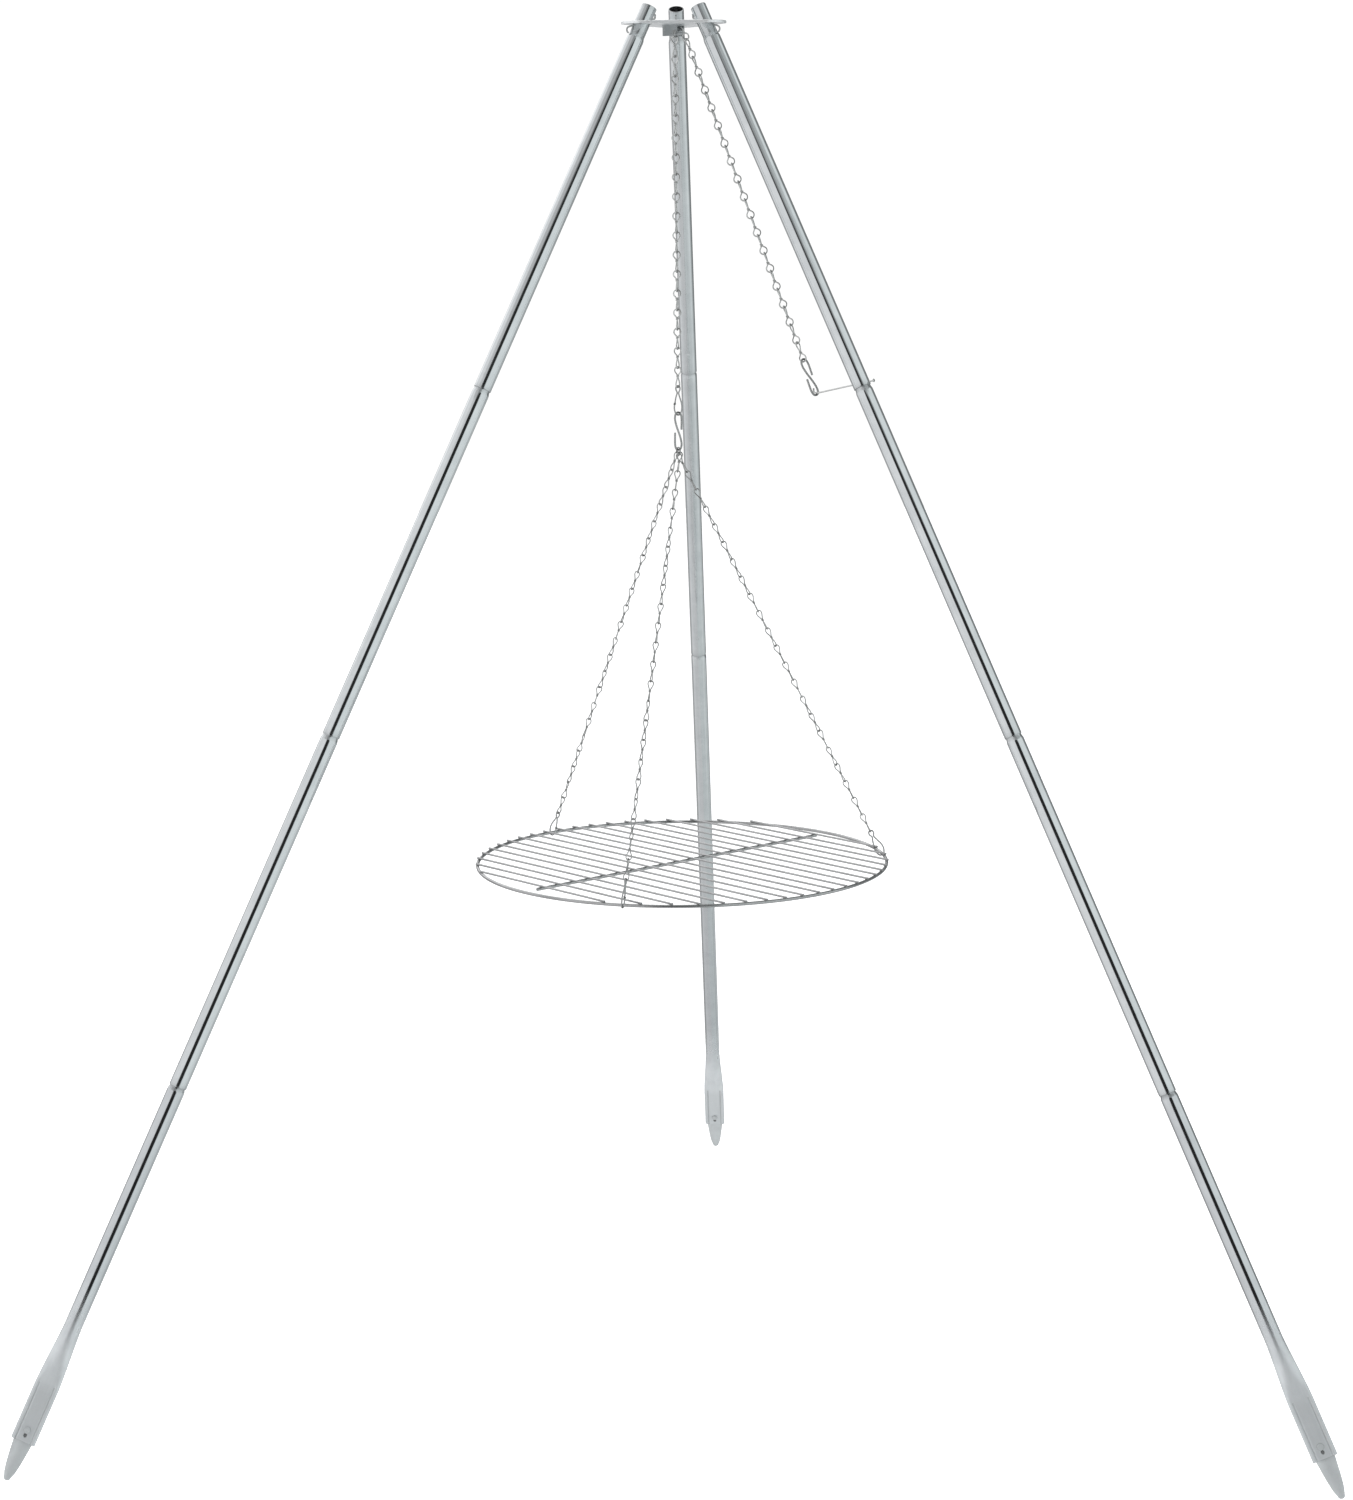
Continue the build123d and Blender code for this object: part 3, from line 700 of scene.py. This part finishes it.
def drawn_loop(rest, wire, half):
    """Half outline of a loop that tapers into the knot, which is rest from its crown."""
    shape = ((0.48, 0.69), (0.81, 0.5), (1.0, 0.32), (0.89, 0.13), (0.48, 0.03))
    neck = [(0.7 * wire, rest + 1.2 * wire), (0.85 * wire, rest - 1.6 * wire)]
    return neck + [(half * x, rest * z) for x, z in shape]


def round_loop(wire):
    """Half outline of a loop bent round a peg."""
    half = [(0.7 * wire, ROUND_NECK + 1.2 * wire), (0.8 * wire, ROUND_NECK - 1.1 * wire)]
    for turn in (138, 115, 90, 62, 32):
        half.append((LOOP_RADIUS * sin(radians(turn)), LOOP_RADIUS * (1 - cos(radians(turn)))))
    return half


def link_shell(length, wire, kind, sides=8):
    """Knotted wire link: two loops at right angles, with the wire ends wrapped round its neck.

    Its origin is the upper crown and +Z runs down the chain; the upper loop lies across X.
    kind says which loop is round, "upper" or "lower"; in a "slender" link both are drawn.
    """
    shell = Shell()
    middle = {"upper": ROUND_NECK, "lower": length - ROUND_NECK, "slender": length / 2}[kind]
    half = LOOP_HALF[kind]
    above = round_loop(wire) if kind == "upper" else drawn_loop(middle, wire, half)
    below = round_loop(wire) if kind == "lower" else drawn_loop(length - middle, wire, half)

    # painted shade where each crown bears on the next link, and round the wrapped knot
    def contact_shade(point):
        crown_shade = exp(-min(point.z, length - point.z) / 1.1)
        knot = exp(-(((point.z - middle) / 1.6) ** 2))
        return min(1.0, 0.8 * crown_shade + 0.5 * knot)

    above = above + [(0.0, 0.0)] + [(-x, z) for x, z in reversed(above)]
    below = below + [(0.0, 0.0)] + [(-x, z) for x, z in reversed(below)]
    sweep(shell, spline([(x, 0, z) for x, z in above], 4), wire, sides, grime_and_shade=contact_shade)
    sweep(shell, spline([(0, x, length - z) for x, z in below], 4), wire, sides, grime_and_shade=contact_shade)
    coil = []
    for step in range(KNOT_STEPS + 1):
        t = 2 * pi * KNOT_TURNS * step / KNOT_STEPS
        height = middle + (step / KNOT_STEPS - 0.5) * 2 * KNOT_TURNS * wire
        coil.append((KNOT_RADIUS * wire * cos(t), KNOT_RADIUS * wire * sin(t), height))
    sweep(shell, coil, KNOT_WIRE * wire, sides, grime_and_shade=contact_shade)
    return shell


def chain_shell(
    start, direction, side, count, pitch, wire, kind="upper", twist=0.0, wobble=0.0, settle=0.0
):
    """Links one after another; side is the direction of the first upper loop.

    twist is spread over the run, settle turns all the links that aren't near an end, and wobble
    is the most that any link but the two end ones turns at random. All three are in degrees.
    """
    link = link_shell(pitch + 2 * wire + LINK_GAP, wire * WIRE_SHARE[kind], kind)
    shell = Shell()
    direction = direction.normalized()
    for number in range(count):
        turn = radians(twist) * number / max(1, count - 1)
        turn += radians(settle) * min(1.0, min(number, count - 1 - number) / 2)
        if 0 < number < count - 1:
            turn += radians(rng.uniform(-wobble, wobble))
        across = Matrix.Rotation(turn, 3, direction) @ side
        shell.add(link, axes_matrix(start + direction * pitch * number, across, direction))
    return shell


BARREL_HEIGHT, SIDE_HEIGHT, SIDE_OUT = -15.0, -16.0, 15.0  # where the two chains start
HANGING = {"wobble": 4, "settle": -18}
reach = CHAIN_WIRE + LINK_GAP / 2
slope = radians(ADJUSTER_SLOPE)
down = Vector((0, 0, -1))
adjuster_down = hanger_vector(sin(slope), 0, -cos(slope))
main_start = hanger(0, 0, BARREL_HEIGHT + reach)
adjuster_start = hanger(SIDE_OUT, 0, SIDE_HEIGHT) + adjuster_down * (LOOP_RADIUS - 2 * reach)

along, across = hanger_vector(1, 0, 0), hanger_vector(0, 1, 0)

first = chain_shell(main_start, down, along, 1, MAIN_PITCH, CHAIN_WIRE)
first.piece("first_link_wire", HERE, CHAIN, "top_link", "chain_steel", "first_link")
second_start = main_start + down * MAIN_PITCH
rest = chain_shell(second_start, down, along, LINKS - 1, MAIN_PITCH, CHAIN_WIRE, **HANGING)
rest.piece("main_chain_wire", HERE, CHAIN, "hanging_chain", "chain_steel", "main_chain")
slant = chain_shell(
    adjuster_start, adjuster_down, across, LINKS, ADJUSTER_PITCH, CHAIN_WIRE, "lower", **HANGING
)
slant.piece("adjuster_chain_wire", HERE, CHAIN, "adjuster", "chain_steel", "adjuster_chain")

# ---- hooks ----------------------------------------------------------------------------------
SNAP_OUTLINE = [
    (-4.3, 20.4), (-3.0, 14.0), (-1.2, 8.4), (-2.8, 4.8), (-2.6, 1.6), (0.0, 0.0), (2.6, 1.6),
    (2.8, 4.8), (1.1, 8.6), (2.6, 14.0), (5.0, 21.0), (5.3, 27.5), (3.4, 33.0), (0.0, SNAP_LENGTH),
    (-3.4, 33.0), (-5.3, 27.5), (-4.9, 22.6),
]
S_OUTLINE = [
    (4.3, S_LENGTH / 2 - 1.5), (4.5, 10.0), (4.1, 4.4), (2.6, 1.0), (0.0, 0.0), (-2.6, 1.0),
    (-4.1, 4.4), (-4.1, 9.0), (-2.0, 17.0),
]
S_OUTLINE += [(-x, S_LENGTH - z) for x, z in reversed(S_OUTLINE)]


def bent_hook(outline, length, wire, sides):
    """Bent wire along an outline of (x, z) points, with painted shade where its two ends hang on
    something.
    """
    shell = Shell()
    line = spline([(x, 0, z) for x, z in outline], 7)
    sweep(shell, line, wire, sides, grime_and_shade=lambda point: exp(-min(point.z, length - point.z) / 1.3))
    return shell


def snap_shell():
    """Pear-shaped snap hook: bent wire with its end rolled round the gate side."""
    shell = bent_hook(SNAP_OUTLINE, SNAP_LENGTH, SNAP_WIRE, 12)
    tilt = Matrix.Rotation(radians(-12), 3, "Y")
    centre = Vector((-4.6, 0, 21.6))
    turns, steps, radius, length = 2.6, 40, 1.1, 2.6
    coil = []
    for step in range(steps + 1):
        t = 2 * pi * turns * step / steps
        height = (step / steps - 0.5) * length
        coil.append(centre + tilt @ Vector((radius * cos(t), radius * sin(t), height)))
    # the coil is painted darker all over
    sweep(shell, coil, 0.5, 8, grime_and_shade=lambda point: 0.5)
    return shell


def s_hook_shell():
    return bent_hook(S_OUTLINE, S_LENGTH, S_WIRE, 14)


s_across = hanger_vector(cos(radians(S_TURN)), -sin(radians(S_TURN)), 0)
snap_top = main_start.z - LINKS * MAIN_PITCH - 2 * reach + CHAIN_WIRE + SNAP_WIRE + LINK_GAP
s_top = snap_top - SNAP_LENGTH + SNAP_WIRE + S_WIRE + HOOK_GAP
ring_top = s_top - S_LENGTH + S_WIRE + GATHER_WIRE + HOOK_GAP
snap_place = axes_matrix((0, 0, snap_top), along, down)
snap_shell().piece(
    "main_snap_hook_wire", snap_place, WIRE, "hanging_chain", "wire_steel", "main_snap_hook"
)
s_place = axes_matrix((0, 0, s_top), s_across, down)
s_hook_shell().piece(
    "main_s_hook_wire", s_place, WIRE, "hanging_chain", "wire_steel", "main_s_hook"
)

adjuster_end = adjuster_start + adjuster_down * (LINKS * ADJUSTER_PITCH + 2 * reach)
hook_top = adjuster_end - adjuster_down * (CHAIN_WIRE + S_WIRE + HOOK_GAP)
adjuster_across = s_across - adjuster_down * s_across.dot(adjuster_down)
s_place = axes_matrix(hook_top, adjuster_across, adjuster_down)
s_hook_shell().piece(
    "adjuster_s_hook_wire", s_place, WIRE, "adjuster", "wire_steel", "adjuster_s_hook"
)

# the hook rod: a turned-up end, a peg in the S-hook, and a shank through the leg to its head
PEG_GAP, PEG_HALF, PEG_RISE, ROD_BEND = 0.35, 4.5, 5.5, 1.5
ROD_UP, ROD_BEYOND = 5.0, 17.0  # above the end of the tube, and past its middle
leg_down = Vector(joints["leg_right_joint_2"]["axis"])
peg_centre = hook_top + adjuster_down * (S_LENGTH - S_WIRE - ROD_WIRE - PEG_GAP)
peg_direction = hanger_vector(sin(radians(S_TURN)), cos(radians(S_TURN)), 0)
peg_near, peg_far = peg_centre + peg_direction * PEG_HALF, peg_centre - peg_direction * PEG_HALF
in_leg = hanger(LEG_CIRCLE, 0, 0) + leg_down * (FIRST_CUT - ROD_UP)
rod_direction = (in_leg - peg_near).normalized()
rod_end = in_leg + rod_direction * ROD_BEYOND
rod = Shell()
rod_line = rounded([peg_far + Vector((0, 0, PEG_RISE)), peg_far, peg_near, rod_end], ROD_BEND)
sweep(rod, rod_line, ROD_WIRE, 14)
head = Shell()
# the third values paint the head darker, most round the rim of its face towards the leg
profile = [(0.05, -0.8, 0.3), (1.7, -0.8, 0.5), (2.1, -0.45, 0.3)]
profile += [(2.1, 0.3, 0.3), (1.6, 0.75, 0.2), (0.05, 0.8, 0.2)]
lathe(head, profile, 24, close=False)
rod.add(head, axes_matrix(rod_end, rod_direction.orthogonal(), rod_direction))
rod.piece("hook_rod_wire", HERE, CHAIN, "leg_right_top", "wire_steel", "hook_rod")

gather_centre = Vector((0, 0, ring_top - GATHER_RADIUS))
gather_across = Vector((-s_across.y, s_across.x, 0))


def circle_points(centre, a, b, radius, count):
    return [centre + (a * cos(t) + b * sin(t)) * radius for t in even_turns(count)]


gather = Shell()
gather_line = circle_points(gather_centre, gather_across, Vector((0, 0, 1)), GATHER_RADIUS, 48)
# the whole ring is painted darker
sweep(gather, gather_line, GATHER_WIRE, 12, closed=True, grime_and_shade=lambda point: 0.55)
gather.piece("gathering_ring_wire", HERE, WIRE, "grate", "wire_steel", "gathering_ring")

# ---- grate ----------------------------------------------------------------------------------
WELD_SINK, WELD_DROP = 0.15, 0.05
END_WELD, MIDDLE_WELD = (2.1, 1.9, 0.75), (1.9, 1.6, 0.6)  # along and across the bar, and high
WELD_PROFILE = ((-1.0, 0.15), (-0.8, 0.62), (-0.3, 0.95), (0.3, 0.95), (0.8, 0.62), (1.0, 0.15))
WELD_ROUGH, WELD_SIDES = 0.1, 12
BAR_BOW, BAR_STEPS = 0.5, 24
bar_height = GRATE_HEIGHT + RING_WIRE + BAR_WIRE - WELD_SINK
bar_direction = Vector((cos(radians(BAR_ANGLE)), sin(radians(BAR_ANGLE)), 0))
bar_step = Vector((-bar_direction.y, bar_direction.x, 0))
centre = Vector((0, 0, GRATE_HEIGHT))

welds = Shell()


def weld(point, along, size):
    """Small flattened, uneven weld bead, longer along the wires than it is high."""
    along = along.normalized()
    across = Vector((-along.y, along.x, 0))
    rings = []
    for lift, spread in WELD_PROFILE:
        points = []
        for t in even_turns(WELD_SIDES):
            rough = 1 + rng.uniform(-WELD_ROUGH, WELD_ROUGH)
            flat = (along * cos(t) * size[0] + across * sin(t) * size[1]) * spread * rough
            points.append(point + flat + Vector((0, 0, lift * size[2])))
        rings.append(welds.ring(points, 0.5))
    welds.skin(rings)
    welds.cap_ends(rings)


ring = Shell()
ring_line = circle_points(centre, Vector((1, 0, 0)), Vector((0, 1, 0)), GRATE_RADIUS, 240)
sweep(ring, ring_line, RING_WIRE, 16, closed=True)
ring.piece("grate_ring_wire", HERE, GRATE, "grate", "grate_steel", "grate_ring")

rods = Shell()
for number in range(BAR_COUNT):
    offset = (number - (BAR_COUNT - 1) / 2) * BAR_PITCH
    reach_along = sqrt(GRATE_RADIUS**2 - offset**2)
    half = reach_along + BAR_OVERHANG
    mid = bar_step * offset + Vector((0, 0, bar_height))
    bow = rng.uniform(-BAR_BOW, BAR_BOW)
    line = []
    for step in range(BAR_STEPS + 1):
        t = 2 * step / BAR_STEPS - 1
        line.append(mid + bar_direction * half * t + bar_step * bow * (1 - t * t))

    def near_weld(point, reach_along=reach_along, mid=mid):
        along = abs((point - mid).dot(bar_direction))
        return exp(-((along - reach_along) / 3.0) ** 2) * 0.7

    sweep(rods, line, BAR_WIRE, 12, grime_and_shade=near_weld)
    drop = Vector((0, 0, BAR_WIRE + WELD_DROP))
    for end in (-1, 1):
        weld(mid + bar_direction * reach_along * end - drop, bar_direction, END_WELD)
    weld(mid - drop, bar_direction, MIDDLE_WELD)
rods.piece("grate_rods_wire", HERE, GRATE, "grate", "grate_steel", "grate_rods")
welds.piece("grate_welds", HERE, GRATE, "grate", "grate_steel")

crossbar = Shell()
crossbar_line = divided(centre - bar_step * CROSSBAR_HALF, centre + bar_step * CROSSBAR_HALF, 40)
sweep(crossbar, crossbar_line, RING_WIRE, 16)
crossbar.piece("grate_crossbar_wire", HERE, GRATE, "grate", "grate_steel", "grate_crossbar")

# the three thin chains leave the gathering ring side by side, and snap hooks join them to the grate
HOOK_CLEARANCE, SEAT_SPREAD = 0.2, 55.0
THIN_RUN = {"wobble": 38, "settle": 20}
hook_reach = RING_WIRE + SNAP_WIRE + HOOK_CLEARANCE
for number, angle in enumerate(HOOK_ANGLES, 1):
    outward = Vector((cos(radians(angle)), sin(radians(angle)), 0))
    spread = radians(SEAT_SPREAD * round(outward.dot(gather_across)))
    tangent = gather_across * cos(spread) + Vector((0, 0, sin(spread)))
    seat = gather_across * sin(spread) - Vector((0, 0, cos(spread)))
    seat = gather_centre + seat * GATHER_RADIUS
    on_ring = outward * GRATE_RADIUS + centre
    run = (on_ring - seat).normalized()
    top = on_ring - run * (SNAP_LENGTH - hook_reach)
    hook_side = (outward - run * outward.dot(run)).normalized()
    name, place = f"grate_hook_{number}", axes_matrix(top, hook_side, run)
    snap_shell().piece(f"{name}_wire", place, WIRE, "grate", "wire_steel", name)
    start = seat - run * (GATHER_WIRE + GRATE_CHAIN_WIRE + HOOK_GAP)
    end = top + run * (GRATE_CHAIN_WIRE + SNAP_WIRE + LINK_GAP)
    pitch = ((end - start).length - 2 * GRATE_CHAIN_WIRE - LINK_GAP) / GRATE_LINKS
    flat = (tangent - run * tangent.dot(run)).normalized()
    first_side = flat.cross(run)
    turn = degrees(atan2(first_side.cross(hook_side).dot(run), first_side.dot(hook_side)))
    turn = (turn + 90) % 180 - 90
    name = f"grate_chain_{number}"
    links = chain_shell(
        start, run, first_side, GRATE_LINKS, pitch, GRATE_CHAIN_WIRE, "slender", turn, **THIN_RUN
    )
    links.piece(f"{name}_wire", HERE, THIN_CHAIN, "grate", "chain_steel", name)

# ---- finishes of the CAD nodes that stay ----------------------------------------------------
for name, material in (
    ("hub_plate", DISC), ("pulley_bracket", PLATE), ("bracket_rivets", PLATE),
    ("roller_axle", WIRE), ("pulley_roller", PLATE), ("chain_top_link", CHAIN),
):
    for material_slot in frame["nodes"][name].material_slots:
        material_slot.material = material

# ---- stage, light and camera ----------------------------------------------------------------
FLOOR_LEVEL = -0.26  # clears the feet when the legs fold in and pull out under the fixed hub
FLOOR_RADIUS, FLOOR_COLOUR, FLOOR_GLOW = 14.0, (0.92, 0.92, 0.92, 1), 0.55
SWEEP_RADIUS, SWEEP_GLOW = 13.9, 1.05
WHITE = (1, 1, 1, 1)


def studio_floor():
    """Plain pale floor, kept out of the object's reflections."""
    mesh = bpy.data.meshes.new("floor")
    rim = circle(FLOOR_RADIUS, 0, 64)
    mesh.from_pydata(rim, [], [tuple(range(len(rim)))])
    made = add_object("floor", mesh)
    made.location.z = FLOOR_LEVEL
    made.visible_glossy = False
    material = bpy.data.materials.new("floor")
    shader = NodeTree(material).nodes["Principled BSDF"]
    shader.inputs["Base Color"].default_value = FLOOR_COLOUR
    shader.inputs["Roughness"].default_value = 0.9
    shader.inputs["Emission Color"].default_value = WHITE
    shader.inputs["Emission Strength"].default_value = FLOOR_GLOW
    mesh.materials.append(material)


def studio_sweep():
    """White dome all round the object. It is only seen directly: it lights and reflects nothing."""
    rows, columns = 16, 48
    base = FLOOR_LEVEL - 0.002
    points, faces = [], []
    for row in range(rows + 1):
        lift = pi / 2 * row / rows
        height = SWEEP_RADIUS * sin(lift) + base
        points += circle(SWEEP_RADIUS * cos(lift), height, columns)
    for low in range(0, rows * columns, columns):
        for column in range(columns):
            after = (column + 1) % columns
            faces.append((low + column, low + after, low + columns + after, low + columns + column))
    mesh = bpy.data.meshes.new("sweep")
    mesh.from_pydata(points, [], faces)
    made = add_object("sweep", mesh)
    material = bpy.data.materials.new("sweep_white")
    tree = NodeTree(material)
    tree.nodes.clear()
    glow = tree.node("ShaderNodeEmission", Color=WHITE, Strength=SWEEP_GLOW)
    output = tree.node("ShaderNodeOutputMaterial")
    tree.link(glow.outputs[0], output.inputs["Surface"])
    mesh.materials.append(material)
    for kind in ("visible_diffuse", "visible_glossy", "visible_transmission", "visible_shadow"):
        setattr(made, kind, False)


studio_floor()
studio_sweep()

# Parts of the studio, each a smooth step (from, to, value before, value after). They step over
# the azimuth, in radians from the front towards the right, or over the direction's height, -1 to 1.
GAP_AZIMUTH = 0.056
GAP_EDGE = (0.27, 0.4, 0.025, 1.0)  # over the distance from the gap's azimuth
GAP_TOP, GAP_CEILING = (0.42, 0.54, 0.0, 0.6), (0.75, 0.9, 0.0, 1.0)
GAP_BOTTOM = (-0.45, -0.25, 1.0, 0.0)
REAR_LEFT_EDGE, REAR_LEFT_LEVEL = (-2.2, -1.85, 0.0, 1.0), (0.08, 0.26, 0.5, 1.35)
REAR_RIGHT_EDGE, REAR_RIGHT_LEVEL = (1.75, 2.15, 1.0, 0.0), (-0.4, -0.15, 0.75, 0.28)
NEAR_FLOOR = (-0.8, -0.3, 0.76, 1.0)
UPPER_RIGHT_EDGE, UPPER_RIGHT_SLOPE = (0.0, 0.3, 0.0, 1.0), 0.103
UPPER_RIGHT_DIM = (0.53, 0.57, 0.0, 0.42)
UPPER_LEFT_EDGES, UPPER_LEFT_SLOPE = ((-1.35, -1.0, 0.0, 1.0), (0.05, 0.35, 1.0, 0.0)), 0.147
UPPER_LEFT_DIM = (0.41, 0.46, 0.0, 0.36)
TINT_EDGE = (-0.3, 0.3, 0.0, 1.0)
LEFT_TINT, RIGHT_TINT = (0.99, 0.985, 1.0, 1.0), (0.95, 0.99, 1.0, 1.0)
STUDIO_STRENGTH = 0.98


def studio_world():
    """Soft white studio all round, with a narrow dark gap in front and some dimmer areas."""
    world = bpy.data.worlds.new("studio")
    bpy.context.scene.world = world
    tree = NodeTree(world)
    maths, link = tree.maths, tree.link

    def step(value, limits):
        return tree.ranged(value, *limits, interpolation="SMOOTHSTEP")

    split = tree.node("ShaderNodeSeparateXYZ")
    link(tree.node("ShaderNodeTexCoord").outputs["Generated"], split.inputs[0])
    height = split.outputs["Z"]
    around = maths("ARCTAN2", split.outputs["X"], maths("MULTIPLY", split.outputs["Y"], -1.0))
    away = maths("ABSOLUTE", maths("SUBTRACT", around, GAP_AZIMUTH))

    gap = maths(
        "MAXIMUM", step(away, GAP_EDGE), step(height, GAP_TOP), step(height, GAP_CEILING),
        step(height, GAP_BOTTOM),
    )
    edge = step(around, REAR_LEFT_EDGE)
    rear_left = maths("MULTIPLY", maths("SUBTRACT", 1.0, edge), step(height, REAR_LEFT_LEVEL))
    rear_left = maths("ADD", rear_left, edge)
    rear_right = maths("MAXIMUM", step(around, REAR_RIGHT_EDGE), step(height, REAR_RIGHT_LEVEL))
    near_floor = step(height, NEAR_FLOOR)
    right_rise = maths("SUBTRACT", height, maths("MULTIPLY", around, UPPER_RIGHT_SLOPE))
    upper_right = maths(
        "MULTIPLY", step(around, UPPER_RIGHT_EDGE), step(right_rise, UPPER_RIGHT_DIM)
    )
    left_rise = maths("ADD", height, maths("MULTIPLY", around, UPPER_LEFT_SLOPE))
    upper_left = maths(
        "MULTIPLY", step(around, UPPER_LEFT_EDGES[0]), step(left_rise, UPPER_LEFT_DIM),
        step(around, UPPER_LEFT_EDGES[1]),
    )
    upper = maths("SUBTRACT", 1.0, maths("MAXIMUM", upper_left, upper_right))
    level = maths("MULTIPLY", gap, rear_left, rear_right, near_floor, upper, STUDIO_STRENGTH)

    background = tree.nodes["Background"]
    link(tree.blend(step(around, TINT_EDGE), LEFT_TINT, RIGHT_TINT), background.inputs["Color"])
    link(level, background.inputs["Strength"])


studio_world()


def area_light(name, place, target, size, energy):
    light = bpy.data.lights.new(name, "AREA")
    light.shape, light.size, light.energy = "DISK", size, energy
    lamp = add_object(name, light)
    lamp.location = place
    lamp.rotation_euler = (Vector(target) - Vector(place)).to_track_quat("-Z", "Y").to_euler()
    lamp.visible_glossy = False


area_light("overhead", place=(-1.2, -1.0, 4.2), target=(0, 0, 0.4), size=3.0, energy=90)

SENSOR, LENS = 36.0, 74.8704
CAMERA_PLACE = Vector((0.2064, -3.7347, 1.4183))
YAW, PITCH, ROLL = 0.0567, 0.1723, -0.0091
camera_data = bpy.data.cameras.new("camera")
camera_data.sensor_width, camera_data.lens = SENSOR, LENS
camera = add_object("camera", camera_data)
forward = Vector((-sin(YAW) * cos(PITCH), cos(YAW) * cos(PITCH), -sin(PITCH)))
right = Vector((cos(YAW), sin(YAW), 0))
above = right.cross(forward)
tilted_right = right * cos(ROLL) + above * sin(ROLL)
tilted_up = above * cos(ROLL) - right * sin(ROLL)
turned = Matrix((tilted_right, tilted_up, -forward)).transposed()
camera.matrix_world = Matrix.Translation(CAMERA_PLACE) @ turned.to_4x4()
camera_data.clip_start, camera_data.clip_end = 0.05, 60.0
bpy.context.scene.camera = camera
bpy.context.scene.view_settings.view_transform = "Standard"
